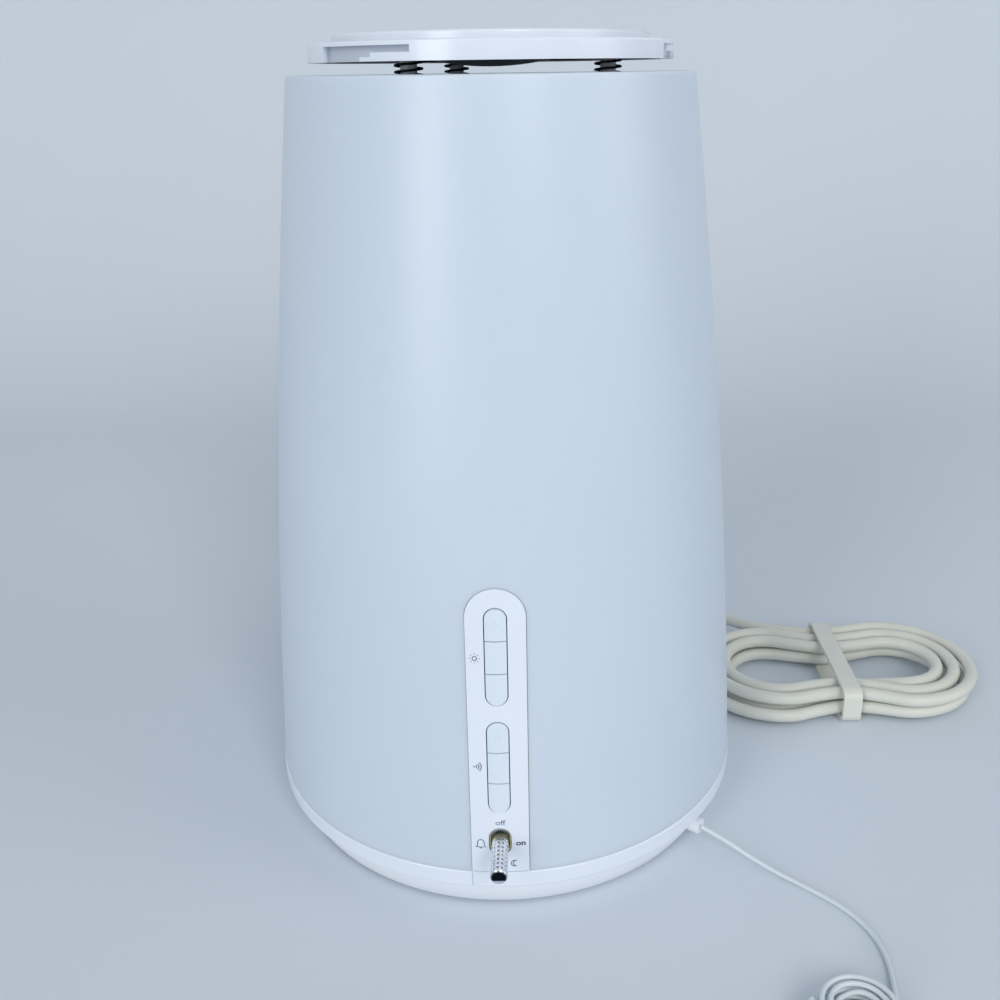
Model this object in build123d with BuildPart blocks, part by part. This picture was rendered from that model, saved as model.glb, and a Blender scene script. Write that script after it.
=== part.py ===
from build123d import *
import os
from math import atan2, cos, hypot, pi, radians, sin, tan

# A wake-up light in millimetres: +Z is up, the floor is Z = 0, the lamp's axis is X = Y = 0,
# and the control strip faces -Y. Angles round the lamp count from the front towards +X.

os.makedirs("parts", exist_ok=True)

# Shared clearances
fit_gap = 0.15
run_gap = 0.3
pin_gap = 0.05
overrun = 5.0

# Base
foot_height = 1.5
foot_radius = 7.0
foot_inset = 15.0
foot_count = 4
skirt_height = 12.4
skirt_inset = 2.9
skirt_taper_width = 4.0
skirt_bow = 0.9
tub_wall = 2.5
deck_thickness = 2.5
spigot_height = 3.5
spigot_wall = 1.8
cover_thickness = 2.5
cover_screw_inset = 15.0
cover_screw_count = 4
cover_boss_radius = 4.0
screw_radius = 1.5
screw_head_radius = 2.8
screw_head_height = 1.4
ring_overhang = 0.3
ring_width = 9.4
ring_height = 5.65
ring_edge = 0.7
ring_split = 0.35

# Shade
shade_height = 240.0
shade_top_radius = 59.1
shade_bottom_radius = 79.6
shade_bulge = 2.2
shade_wall = 2.5
shade_edge = 0.7
tongue_depth = 2.5

# Control strip and its keys
panel_edge_width = 0.45
panel_head_height = 5.4
panel_proud = 0.4
panel_depth = 2.0
panel_seam = 0.12
corner_hole_radius = 0.4
corner_hole_inset = 0.1
corner_hole_rise_height = 0.8
key_slot_length = 30.0
key_slot_width = 6.7
slot_gap_height = 4.85
slot_lever_height = 9.85
key_gap = 0.3
middle_key_length = 10.0
key_proud = 0.9
key_crown_radius = 11.0
key_flange_lap_width = 0.85
key_flange_gap = 0.5
key_flange_thickness = 0.8
key_travel = 0.8
key_stem_width = 2.4
switch_size = 6.0
switch_height = 2.4
button_radius = 1.7
button_height = 0.8
board_width = 22.0
board_thickness = 1.6
board_depth = 10.6
board_bottom_gap = 1.1
board_top_gap = 0.6
boss_radius = 1.7
boss_gap = 0.5
boss_bottom_inset = 5.0
boss_top_inset = 6.0
board_screw_radius = 1.0

# Stand that carries the strip, the board and the display
stand_width = 28.0
stand_thickness = 2.5
stand_head_height = 3.0
stand_foot_length = 9.0
stand_window_height = 17.0
display_width = 36.0
display_tall = 16.0
display_thickness = 5.0
display_gap = 10.0
digit_width = 5.2
digit_tall = 9.0
digit_proud = 0.6
digit_pitch = 7.6
digit_count = 4

# Stick on a gimbal
lever_rise_height = 10.85
lever_radius = 2.5
lever_free_length = 15.0
lever_chamfer = 0.5
lever_pivot_depth = 7.3
lever_tail = 4.5
lever_hub_step_width = 0.9
lever_hub_height = 6.0
dome_hub_gap = 0.3
dome_wall = 0.7
dome_gap = 0.5
gimbal_side_width = 2.1
gimbal_end_width = 1.6
gimbal_thickness = 4.4
hub_side_gap = 0.9
hub_end_gap = 0.4
pin_radius = 0.8
ear_thickness = 1.8
ear_gap = 0.4
ear_tall = 9.0
bracket_thickness = 1.8
bracket_tall = 18.0
bushing_side_gap = 0.35
bushing_end_gap = 1.8
bushing_wall = 0.35
bushing_recess = 0.5
lever_switch_size = 3.0
lever_switch_height = 2.0

# Inner housing, lamp holder and bulb
housing_stand_gap = 2.6
housing_wall = 2.0
housing_head_gap = 7.4
housing_flange = 6.0
housing_flange_thickness = 2.5
housing_screw_count = 3
housing_screw_start = 90.0
holder_radius = 19.0
holder_height = 26.0
holder_floor = 4.0
cap_radius = 13.2
cap_length = 25.0
cap_thread_depth = 0.8
cap_thread_count = 4
glass_radius = 27.5
glass_length = 84.0
glass_wall = 0.9

# Electronics and speaker
main_board_gap = 4.0
main_board_rise_height = 3.6
pillar_radius = 2.5
pillar_inset = 6.0
pillar_count = 4
transformer_size = (28.0, 24.0, 20.0)
transformer_place_shares = (-0.36, 0.19)
capacitor_radius = 5.0
capacitor_height = 18.0
capacitor_place_shares = ((0.33, 0.52), (0.33, 0.12))
sink_size = (26.0, 12.0, 22.0)
sink_place_shares = (0.19, -0.48)
sink_fin = 1.5
sink_fin_count = 5
sink_base = 4.0
speaker_gap = 2.5
speaker_rim_width = 6.0
speaker_flange = 1.6
speaker_depth = 18.0
speaker_wall = 1.2
speaker_neck_share = 0.6
magnet_lap_width = 2.0
magnet_height = 8.0
cone_wall = 0.6
cone_neck_share = 0.32
cone_depth = 12.0
grille_slot = 2.2
grille_pitch = 5.0

# Lid and its sprung bayonet
collar_gap = 0.6
collar_wall = 2.0
collar_drop = 18.0
collar_top_gap = 1.0
collar_plate = 2.5
collar_hole_gap = 1.3
lug_angle = -46.6
lug_width = 12.0
lug_grip_depth = 1.4
lug_thickness = 1.1
lock_travel = 10.5
post_inset = 20.0
post_angle = -38.8
post_count = 3
post_radius = 2.3
post_head_radius = 3.4
post_head_height = 1.6
sleeve_radius = 4.2
sleeve_length = 3.0
vent_inset = 7.5
vent_count = 24
vent_length = 9.0
vent_width = 3.0
spring_radius = 3.7
spring_wire = 0.6
spring_turns = 11
press_ring_inner_width = 5.0
press_ring_outer_width = 5.5
press_ring_thickness = 1.2
glide_ring_thickness = 0.8
lid_gap = 3.2
rim_gap = 1.4
rim_wall = 3.4
rim_height = 5.0
rim_edge = 0.5
web_thickness = 1.4
web_width = 15.5
slot_height = 1.7
slot_lip = 1.2
slot_gap = 0.6
slot_entry = 18.0
slot_ramp = 4.0
slot_run = 17.0
disc_inset = 7.1
disc_thickness = 2.3
disc_edge = 0.8
shield_gap = 1.7
shield_thickness = 0.8
shield_dish_gap = 2.5
shield_dish_depth = 4.2
lid_screw_count = 3
lid_screw_radius = 1.2
lid_screw_head = 2.2
lid_screw_head_height = 0.7

# Mains lead
cord_radius = 2.5
boot_top_gap = 0.8
boot_length = 18.8
boot_radius = 4.4
boot_tip_radius = 3.2
boot_rib_count = 4
boot_rib_width = 1.6
boot_rib_depth = 0.5
tie_thickness = 1.6
tie_width = 7.0
tie_gap = 0.4
hank_center = (134.0, 52.0)
hank_half_run = 25.6
hank_fold_radius = 15.0
hank_waist_draw = 6.0
hank_step = 6.6
hank_layer_step = 5.6
hank_first = 4.5
hank_turn_back = 18.5
hank_last = 33
straight_share = 0.000001
run_share = 0.45
cord_route = [
    (0, 96.2, 7.2), (1.2, 109, 6.6), (8, 122, 4.4), (20.5, 131, 2.9), (37, 132.5, 2.6), (53, 126, 2.6),
    (66, 113.5, 2.6), (74.5, 98, 2.8), (78.8, 81.5, 3.4), (79.6, 66, 4.0),
]
plug_route = [
    (119.5, 78.8, 9.9), (105.5, 85.5, 9.4), (94.5, 95.5, 8.2), (87, 108.5, 6.2), (82, 122.5, 4.2),
    (76.5, 137, 3.0), (66, 148.5, 4.2), (52, 155.5, 6.5), (38, 158, 6.5),
]
plug_length = 22.0
plug_width = 34.0
plug_thickness = 13.0
plug_neck_length = 14.0
plug_round = 3.0
plug_taper_share = 0.75
pin_length = 19.0
plug_pin_radius = 2.0
plug_pin_spread = 18.6

# Aerial wire
aerial_radius = 0.75
aerial_angle = 55.0
grommet_top_gap = 3.3
grommet_radius = 2.6
grommet_free_length = 2.2
coil_center = (96.0, -120.0)
coil_inner_radius = 5.4
coil_start_angle = -12.0
coil_step = 2.3
coil_layer_step = 2.3
coil_turns = 3
coil_layers = 4
coil_floor_gap = 0.1
aerial_route = [
    (72, -50.3, 5.2), (79.5, -55.8, 2.6), (88, -62.2, 1.0), (97, -69.5, 0.85), (105.5, -78, 0.85),
    (110.6, -88, 0.85), (111.6, -98.8, 0.85), (109.6, -109.8, 0.85),
]

# Places worked out from the sizes above
ring_radius = shade_bottom_radius + ring_overhang
ring_inner_radius = ring_radius - ring_width
ring_top = skirt_height + ring_height
skirt_top_radius = ring_radius - skirt_inset
skirt_bottom_radius = skirt_top_radius - skirt_taper_width
foot_circle = skirt_bottom_radius - foot_inset
cover_screw_circle = skirt_bottom_radius - cover_screw_inset
tongue_inner = shade_bottom_radius - shade_wall
tongue_outer = shade_bottom_radius - shade_wall / 2
cover_top = foot_height + cover_thickness
deck_underside = skirt_height - deck_thickness
key_flange_width = key_slot_width + 2 * key_flange_lap_width
boss_spread = key_flange_width / 2 + boss_gap + boss_radius
panel_width = 2 * (boss_spread + boss_radius + panel_edge_width)
lever_height = ring_top + lever_rise_height
lower_slot_height = lever_height + slot_lever_height + key_slot_length / 2
upper_slot_height = lower_slot_height + key_slot_length + slot_gap_height
panel_top = upper_slot_height + key_slot_length / 2 + panel_head_height
board_bottom = lever_height + bracket_tall / 2 + board_bottom_gap
board_top = upper_slot_height + key_slot_length / 2 - board_top_gap
boss_heights = (board_bottom + boss_bottom_inset, board_top - boss_top_inset)
display_height = board_top + display_gap + display_tall / 2
stand_top = display_height + display_tall / 2 + stand_head_height
lever_reach = shade_bottom_radius + lever_free_length
lever_hub_radius = lever_radius + lever_hub_step_width
dome_radius = hypot(lever_hub_radius, lever_hub_height / 2) + dome_hub_gap + dome_wall
gimbal_hole_width = 2 * (lever_hub_radius + hub_side_gap)
gimbal_hole_tall = lever_hub_height + 2 * hub_end_gap
gimbal_width = gimbal_hole_width + 2 * gimbal_side_width
gimbal_tall = gimbal_hole_tall + 2 * gimbal_end_width
bushing_width = 2 * (lever_radius + bushing_side_gap)
bushing_tall = 2 * (lever_radius + bushing_end_gap)
main_board_height = skirt_height + speaker_depth + magnet_height + main_board_rise_height
board_top_height = main_board_height + board_thickness
housing_height = board_top_height + sink_size[2] + housing_head_gap + housing_wall
holder_base = housing_height
bulb_base = holder_base + holder_floor
glass_base = bulb_base + cap_length
collar_inner_radius = shade_top_radius - shade_wall - collar_gap - collar_wall
rim_radius = collar_inner_radius - rim_gap
lug_reach = rim_gap + lug_grip_depth
slot_depth = lug_grip_depth + slot_gap
disc_radius = rim_radius - disc_inset
web_hole_radius = disc_radius - web_width
shield_radius = rim_radius - rim_wall - shield_gap
vent_circle = collar_inner_radius - vent_inset
post_circle = collar_inner_radius - post_inset
collar_hole_radius = post_circle - sleeve_radius - collar_hole_gap
press_ring_inner = post_circle - press_ring_inner_width
press_ring_outer = post_circle + press_ring_outer_width
shield_dish_radius = press_ring_inner - shield_dish_gap
lid_screw_circle = press_ring_outer + run_gap + lid_screw_head
rim_bottom = shade_height + lid_gap
rim_top = rim_bottom + rim_height
web_bottom = rim_top - web_thickness
shield_top = web_bottom
shield_bottom = shield_top - shield_thickness
glide_top = shield_bottom - run_gap
press_top = glide_top - glide_ring_thickness - run_gap
press_bottom = press_top - press_ring_thickness
plate_bottom = shade_height - collar_drop
plate_top = plate_bottom + collar_plate
slot_top = rim_top - slot_lip
lug_height = slot_top - slot_height / 2 - lock_travel
key_flange_top = panel_depth + key_flange_gap
button_top = board_depth - switch_height - button_height
stand_front = board_depth + board_thickness
stand_back = stand_front + stand_thickness
cord_exit_height = skirt_height - boot_top_gap - boot_radius
aerial_exit_height = skirt_height - grommet_top_gap - grommet_radius
grommet_reach = skirt_top_radius + grommet_free_length
hank_floor = tie_thickness + tie_gap + cord_radius
hank_widest = (hank_last - hank_turn_back) / 6


def shade_radius(height):
    """Outer radius of the shade at a height."""
    rise = (height - ring_top) / (shade_height - ring_top)
    straight = shade_bottom_radius + (shade_top_radius - shade_bottom_radius) * rise
    return straight + 4 * shade_bulge * rise * (1 - rise)


def around(radius, angle, height):
    """A point at an angle round the lamp, counted from the front."""
    return (radius * sin(radians(angle)), -radius * cos(radians(angle)), height)


def outline(points, plane=Plane.XZ):
    """A closed face through points, by default of radius and height."""
    with BuildSketch(plane) as face:
        with BuildLine():
            Polyline(*points, close=True)
        make_face()
    return face.sketch


def bowed(radii, heights, bow, inset):
    """A closed band between a bowed line and the same line moved inwards."""
    middle = (sum(radii) / 2 + bow, sum(heights) / 2)
    with BuildSketch(Plane.XZ) as face:
        with BuildLine():
            outer = ThreePointArc((radii[0], heights[0]), middle, (radii[1], heights[1]))
            inner = ThreePointArc(
                (radii[0] - inset, heights[0]), (middle[0] - inset, middle[1]),
                (radii[1] - inset, heights[1]),
            )
            Line(outer @ 0, inner @ 0)
            Line(outer @ 1, inner @ 1)
        make_face()
    return face.sketch


def band(inner, outer, bottom, top):
    """The section of a plain ring, to be turned about the lamp's axis."""
    return outline([(inner, bottom), (outer, bottom), (outer, top), (inner, top)])


def wedge(inner, outer, start, sweep_angle, height):
    """A ring sector on the plane at a height, from a start angle."""
    reach = 2 * outer
    with BuildSketch(Plane.XY.offset(height)) as face:
        Circle(outer)
        Circle(inner, mode=Mode.SUBTRACT)
        with BuildLine():
            sides = [around(reach, start + sweep_angle * share, 0) for share in (0, 0.5, 1)]
            Polyline((0, 0), *[(x, y) for x, y, z in sides], close=True)
        make_face(mode=Mode.INTERSECT)
    return face.sketch


# The plane of the keys: a chord of the shade's front, leaning back with it
key_low = lower_slot_height - key_slot_length / 2
key_high = upper_slot_height + key_slot_length / 2
key_mid = (key_low + key_high) / 2
key_lean = atan2(shade_radius(key_low) - shade_radius(key_high), key_high - key_low)
key_front = -(shade_radius(key_low) + shade_radius(key_high)) / 2
key_plane = Plane(
    origin=(0, key_front, key_mid), x_dir=(1, 0, 0), z_dir=(0, -cos(key_lean), sin(key_lean))
)


def up_slope(height):
    """Distance along the leaning plane from its middle to a height on the strip."""
    return (height - key_mid) / cos(key_lean)


def behind_keys(height, depth):
    """Y of the point that lies a depth behind the plane of the keys, at a height."""
    along = (height - key_mid + depth * sin(key_lean)) / cos(key_lean)
    return key_front + along * sin(key_lean) + depth * cos(key_lean)


def arch(grow, bottom):
    """The strip's outline seen from the front, grown all round by a gap."""
    half = panel_width / 2 + grow
    crown = panel_top - panel_width / 2
    with BuildSketch(Plane.XZ) as face:
        with BuildLine():
            Polyline((-half, crown), (-half, bottom), (half, bottom), (half, crown))
            ThreePointArc((half, crown), (0, crown + half), (-half, crown))
        make_face()
    return face.sketch


# Spots that several pieces share
boss_spots = [(side * boss_spread, up_slope(height)) for side in (-1, 1) for height in boss_heights]
lever_spot = (0, up_slope(lever_height))
stand_foot_end = behind_keys(skirt_height, stand_back) + stand_foot_length
stand_foot_top = skirt_height + stand_thickness
stand_screw_spots = [
    (side * stand_width / 3, stand_foot_end - stand_foot_length / 2) for side in (-1, 1)
]
housing_radius = -stand_foot_end - housing_stand_gap - housing_flange
housing_screw_circle = housing_radius + housing_flange / 2
main_board_radius = housing_radius - housing_wall - main_board_gap
transformer_place = [share * main_board_radius for share in transformer_place_shares]
capacitor_places = [(x * main_board_radius, y * main_board_radius) for x, y in capacitor_place_shares]
sink_place = [share * main_board_radius for share in sink_place_shares]
pillar_circle = main_board_radius - pillar_inset
speaker_radius = pillar_circle - pillar_radius - speaker_gap
speaker_hole_radius = speaker_radius - speaker_rim_width
speaker_neck_radius = speaker_hole_radius * speaker_neck_share
magnet_radius = speaker_neck_radius + magnet_lap_width
cone_neck_radius = speaker_hole_radius * cone_neck_share
grille_count = 2 * int((speaker_hole_radius - grille_slot) / grille_pitch) + 1

# Base tub: skirt, deck and the spigot that the ring is pressed on
with BuildPart() as base_tub:
    revolve(
        bowed((skirt_bottom_radius, skirt_top_radius), (foot_height, skirt_height), skirt_bow, tub_wall),
        axis=Axis.Z,
    )
    revolve(band(0, skirt_top_radius - tub_wall / 2, deck_underside, skirt_height), axis=Axis.Z)
    spigot_radius = ring_inner_radius - fit_gap
    revolve(
        band(spigot_radius - spigot_wall, spigot_radius, skirt_height, skirt_height + spigot_height),
        axis=Axis.Z,
    )
    with BuildSketch(Plane.XY.offset(cover_top)):
        with PolarLocations(cover_screw_circle, cover_screw_count):
            Circle(cover_boss_radius)
            Circle(screw_radius, mode=Mode.SUBTRACT)
    extrude(amount=deck_underside - cover_top)
    with BuildSketch(Plane.XY.offset(deck_underside)):
        Circle(speaker_hole_radius)
        with Locations(*stand_screw_spots):
            Circle(screw_radius)
        with PolarLocations(housing_screw_circle, housing_screw_count, start_angle=housing_screw_start):
            Circle(screw_radius)
    extrude(amount=deck_thickness, mode=Mode.SUBTRACT)
    with Locations(
        Plane(
            around(skirt_bottom_radius, aerial_angle, aerial_exit_height), z_dir=around(1, aerial_angle, 0)
        )
    ):
        Cylinder(grommet_radius + fit_gap, 2 * (tub_wall + overrun), mode=Mode.SUBTRACT)
    with Locations(Plane((0, skirt_top_radius, cord_exit_height), z_dir=(0, 1, 0))):
        Cylinder(boot_radius + fit_gap, 2 * (tub_wall + overrun), mode=Mode.SUBTRACT)
    with Locations((0, -spigot_radius, skirt_height)):
        Box(
            stand_width + 2 * run_gap, 2 * overrun, 2 * spigot_height + run_gap,
            align=(Align.CENTER, Align.CENTER, Align.MIN), mode=Mode.SUBTRACT,
        )
base_tub.part.label = "base_tub"
export_step(base_tub.part, "parts/base_tub.step")

# Bottom cover with the speaker grille
with BuildPart() as bottom_cover:
    with BuildSketch(Plane.XY.offset(foot_height)):
        Circle(skirt_bottom_radius - tub_wall - fit_gap)
        with PolarLocations(cover_screw_circle, cover_screw_count):
            Circle(screw_radius + fit_gap, mode=Mode.SUBTRACT)
        for slot in range(grille_count):
            across = (slot - (grille_count - 1) / 2) * grille_pitch
            half = (speaker_hole_radius**2 - across**2) ** 0.5
            with Locations((across, 0)):
                SlotOverall(2 * half, grille_slot, rotation=90, mode=Mode.SUBTRACT)
    extrude(amount=cover_thickness)
    with BuildSketch(Plane.XY.offset(foot_height)):
        with PolarLocations(cover_screw_circle, cover_screw_count):
            Circle(screw_head_radius + fit_gap)
    extrude(amount=screw_head_height, mode=Mode.SUBTRACT)
bottom_cover.part.label = "bottom_cover"
export_step(bottom_cover.part, "parts/bottom_cover.step")

with BuildPart() as rubber_feet:
    with BuildSketch():
        with PolarLocations(foot_circle, foot_count, start_angle=180 / foot_count):
            Circle(foot_radius)
    extrude(amount=foot_height)
    chamfer(rubber_feet.edges().group_by(Axis.Z)[0], foot_height / 4)
rubber_feet.part.label = "rubber_feet"
export_step(rubber_feet.part, "parts/rubber_feet.step")

with BuildPart() as bottom_screws:
    with BuildSketch(Plane.XY.offset(foot_height)):
        with PolarLocations(cover_screw_circle, cover_screw_count):
            Circle(screw_head_radius)
    extrude(amount=screw_head_height)
    with BuildSketch(Plane.XY.offset(foot_height)):
        with PolarLocations(cover_screw_circle, cover_screw_count):
            Circle(screw_radius - pin_gap)
    extrude(amount=deck_underside - foot_height - run_gap)
bottom_screws.part.label = "bottom_screws"
export_step(bottom_screws.part, "parts/bottom_screws.step")

# Gloss ring, with the groove for the shade's tongue and a split line at the strip's edge
with BuildPart() as base_ring:
    revolve(band(ring_inner_radius, ring_radius, skirt_height, ring_top), axis=Axis.Z)
    fillet(base_ring.edges().filter_by(GeomType.CIRCLE).sort_by(SortBy.RADIUS)[-2:], ring_edge)
    revolve(
        band(tongue_inner - fit_gap, tongue_outer + fit_gap, ring_top - tongue_depth - fit_gap, ring_top),
        axis=Axis.Z,
        mode=Mode.SUBTRACT,
    )
    split_face = (ring_radius**2 - (panel_width / 2) ** 2) ** 0.5
    with Locations((-panel_width / 2, -split_face, skirt_height)):
        Box(
            ring_split, 2 * ring_split, 2 * ring_height, mode=Mode.SUBTRACT,
        )
base_ring.part.label = "base_ring"
export_step(base_ring.part, "parts/base_ring.step")

# Translucent shade, cut out for the strip
with BuildPart() as shade:
    revolve(
        bowed((shade_bottom_radius, shade_top_radius), (ring_top, shade_height), shade_bulge, shade_wall),
        axis=Axis.Z,
    )
    fillet(shade.edges().group_by(Axis.Z)[-1], shade_edge)
    revolve(band(tongue_inner, tongue_outer, ring_top - tongue_depth, ring_top), axis=Axis.Z)
    extrude(
        arch(panel_seam, ring_top - tongue_depth - overrun), amount=ring_radius + overrun,
        mode=Mode.SUBTRACT,
    )
shade.part.label = "shade"
export_step(shade.part, "parts/shade.step")

# Control strip: a slice of the shade's form, a little proud of it, with key slots and screw bosses
with BuildPart() as control_panel:
    revolve(
        bowed(
            (shade_bottom_radius + panel_proud, shade_top_radius + panel_proud),
            (ring_top, shade_height), shade_bulge, panel_proud + panel_depth,
        ),
        axis=Axis.Z,
    )
    extrude(arch(0, ring_top), amount=ring_radius + overrun, mode=Mode.INTERSECT)
    with BuildSketch(key_plane.offset(-board_depth)):
        with Locations(*boss_spots):
            Circle(boss_radius)
    extrude(amount=board_depth - panel_depth / 2)
    with BuildSketch(key_plane.offset(-board_depth)):
        with Locations(*boss_spots):
            Circle(board_screw_radius + pin_gap)
    extrude(amount=board_depth - panel_depth - run_gap, mode=Mode.SUBTRACT)
    with BuildSketch(key_plane.offset(-overrun)):
        with Locations((0, up_slope(upper_slot_height)), (0, up_slope(lower_slot_height))):
            SlotOverall(key_slot_length, key_slot_width, rotation=90)
        with Locations(lever_spot):
            SlotOverall(
                bushing_tall + 2 * (bushing_wall + fit_gap), bushing_width + 2 * (bushing_wall + fit_gap),
                rotation=90,
            )
    extrude(amount=2 * overrun, mode=Mode.SUBTRACT)
    with BuildSketch(Plane.XZ):
        for side in (-1, 1):
            hole_side = side * (panel_width / 2 - corner_hole_inset)
            with Locations((hole_side, ring_top + corner_hole_rise_height)):
                Circle(corner_hole_radius)
    extrude(amount=ring_radius + overrun, mode=Mode.SUBTRACT)
control_panel.part.label = "control_panel"
export_step(control_panel.part, "parts/control_panel.step")

# Six keys: two slots of three, each key with a crown, a flange behind the strip and a stem
crown_plane = Plane(
    key_plane.from_local_coords((0, 0, key_proud - key_crown_radius)),
    x_dir=(1, 0, 0), z_dir=key_plane.y_dir,
)
end_key_length = (key_slot_length - middle_key_length) / 2 - key_gap
key_rows = {
    "light_up_key": (upper_slot_height, 1),
    "light_key": (upper_slot_height, 0),
    "light_down_key": (upper_slot_height, -1),
    "volume_up_key": (lower_slot_height, 1),
    "radio_key": (lower_slot_height, 0),
    "volume_down_key": (lower_slot_height, -1),
}
key_spots = []
for key_name, (slot_height_up, row) in key_rows.items():
    slot_middle = up_slope(slot_height_up)
    long = end_key_length if row else middle_key_length - key_gap
    middle = slot_middle + row * ((middle_key_length + key_gap) / 2 + end_key_length / 2)
    key_spots.append((0, middle))
    with BuildPart() as key:
        with BuildSketch(key_plane.offset(-key_flange_top)):
            with Locations((0, slot_middle)):
                SlotOverall(key_slot_length - 2 * key_gap, key_slot_width - 2 * key_gap, rotation=90)
            with Locations((0, middle)):
                Rectangle(key_slot_width, long, mode=Mode.INTERSECT)
        extrude(amount=key_flange_top + key_proud)
        with BuildSketch(crown_plane):
            Circle(key_crown_radius)
        extrude(amount=panel_top, both=True, mode=Mode.INTERSECT)
        with BuildSketch(key_plane.offset(-key_flange_top - key_flange_thickness)):
            with Locations((0, middle)):
                Rectangle(key_flange_width, long)
        extrude(amount=key_flange_thickness)
        with BuildSketch(key_plane.offset(-button_top + key_travel + run_gap)):
            with Locations((0, middle)):
                Rectangle(key_stem_width, key_stem_width)
        extrude(until=Until.NEXT)
    key.part.label = key_name
    export_step(key.part, f"parts/{key_name}.step")

with BuildPart() as key_board:
    with BuildSketch(key_plane.offset(-board_depth - board_thickness)):
        with Locations((0, up_slope((board_bottom + board_top) / 2))):
            Rectangle(board_width, up_slope(board_top) - up_slope(board_bottom))
        with Locations(*boss_spots):
            Circle(board_screw_radius + pin_gap, mode=Mode.SUBTRACT)
    extrude(amount=board_thickness)
key_board.part.label = "key_board"
export_step(key_board.part, "parts/key_board.step")

with BuildPart() as tact_switches:
    with BuildSketch(key_plane.offset(-board_depth)):
        with Locations(*key_spots):
            Rectangle(switch_size, switch_size)
    extrude(amount=switch_height)
    with BuildSketch(key_plane.offset(-board_depth)):
        with Locations(*key_spots):
            Circle(button_radius)
    extrude(amount=switch_height + button_height)
tact_switches.part.label = "tact_switches"
export_step(tact_switches.part, "parts/tact_switches.step")

with BuildPart() as key_board_screws:
    with BuildSketch(key_plane.offset(-stand_back - screw_head_height)):
        with Locations(*boss_spots):
            Circle(2 * board_screw_radius)
    extrude(amount=screw_head_height)
    with BuildSketch(key_plane.offset(-stand_back)):
        with Locations(*boss_spots):
            Circle(board_screw_radius)
    extrude(amount=stand_back - panel_depth - 2 * key_travel)
key_board_screws.part.label = "key_board_screws"
export_step(key_board_screws.part, "parts/key_board_screws.step")

# Stand: a leaning plate with a foot on the deck and a window behind the stick
with BuildPart() as panel_stand:
    extrude(
        outline(
            [
                (behind_keys(skirt_height, stand_front), skirt_height),
                (behind_keys(stand_top, stand_front), stand_top),
                (behind_keys(stand_top, stand_back), stand_top),
                (behind_keys(stand_foot_top, stand_back), stand_foot_top),
                (stand_foot_end, stand_foot_top),
                (stand_foot_end, skirt_height),
            ],
            Plane.YZ,
        ),
        amount=stand_width / 2,
        both=True,
    )
    with BuildSketch(key_plane.offset(-stand_back - overrun)):
        with Locations(lever_spot):
            Rectangle(gimbal_width + 2 * ear_gap, stand_window_height)
        with Locations(*boss_spots):
            Circle(board_screw_radius + pin_gap)
    extrude(amount=stand_thickness + 2 * overrun, mode=Mode.SUBTRACT)
    with BuildSketch(Plane.XY.offset(skirt_height)):
        with Locations(*stand_screw_spots):
            Circle(screw_radius + fit_gap)
    extrude(amount=stand_thickness, mode=Mode.SUBTRACT)
panel_stand.part.label = "panel_stand"
export_step(panel_stand.part, "parts/panel_stand.step")

with BuildPart() as stand_screws:
    with BuildSketch(Plane.XY.offset(stand_foot_top)):
        with Locations(*stand_screw_spots):
            Circle(screw_head_radius)
    extrude(amount=screw_head_height)
    with BuildSketch(Plane.XY.offset(deck_underside)):
        with Locations(*stand_screw_spots):
            Circle(screw_radius - pin_gap)
    extrude(amount=deck_thickness + stand_thickness)
stand_screws.part.label = "stand_screws"
export_step(stand_screws.part, "parts/stand_screws.step")

with BuildPart() as display_module:
    with BuildSketch(key_plane.offset(-stand_front)):
        with Locations((0, up_slope(display_height))):
            Rectangle(display_width, display_tall)
    extrude(amount=display_thickness)
    with BuildSketch(key_plane.offset(-stand_front + display_thickness)):
        for digit in range(digit_count):
            with Locations(((digit - (digit_count - 1) / 2) * digit_pitch, up_slope(display_height))):
                Rectangle(digit_width, digit_tall)
    extrude(amount=digit_proud)
display_module.part.label = "display_module"
export_step(display_module.part, "parts/display_module.step")

# Stick: a rod with a hub and a dome that hides it, on a gimbal ring that tilts in a bracket
pivot = (0, lever_pivot_depth - shade_radius(lever_height), lever_height)
lever_plane = Plane(pivot, x_dir=(1, 0, 0), z_dir=(0, -1, 0))
upright_plane = Plane(pivot)
cross_plane = Plane(pivot, x_dir=(0, 1, 0), z_dir=(1, 0, 0))
lever_length = lever_reach + pivot[1]
with BuildPart() as lever:
    with BuildSketch(lever_plane.offset(-lever_tail)):
        Circle(lever_radius)
    extrude(amount=lever_tail + lever_length)
    chamfer(lever.edges().sort_by(Axis.Y)[0], lever_chamfer)
    with BuildSketch(upright_plane.offset(-lever_hub_height / 2)):
        Circle(lever_hub_radius)
    extrude(amount=lever_hub_height)
    with BuildSketch(upright_plane):
        Circle(pin_radius + pin_gap)
    extrude(amount=lever_hub_height, both=True, mode=Mode.SUBTRACT)
lever.part.label = "lever"
export_step(lever.part, "parts/lever.step")

with BuildPart(lever_plane) as lever_dome:
    Sphere(dome_radius)
    Sphere(dome_radius - dome_wall, mode=Mode.SUBTRACT)
    split(bisect_by=lever_plane.offset(gimbal_thickness / 2 + dome_gap), keep=Keep.TOP)
    Cylinder(lever_radius, 2 * dome_radius, mode=Mode.SUBTRACT)
lever_dome.part.label = "lever_dome"
export_step(lever_dome.part, "parts/lever_dome.step")

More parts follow.
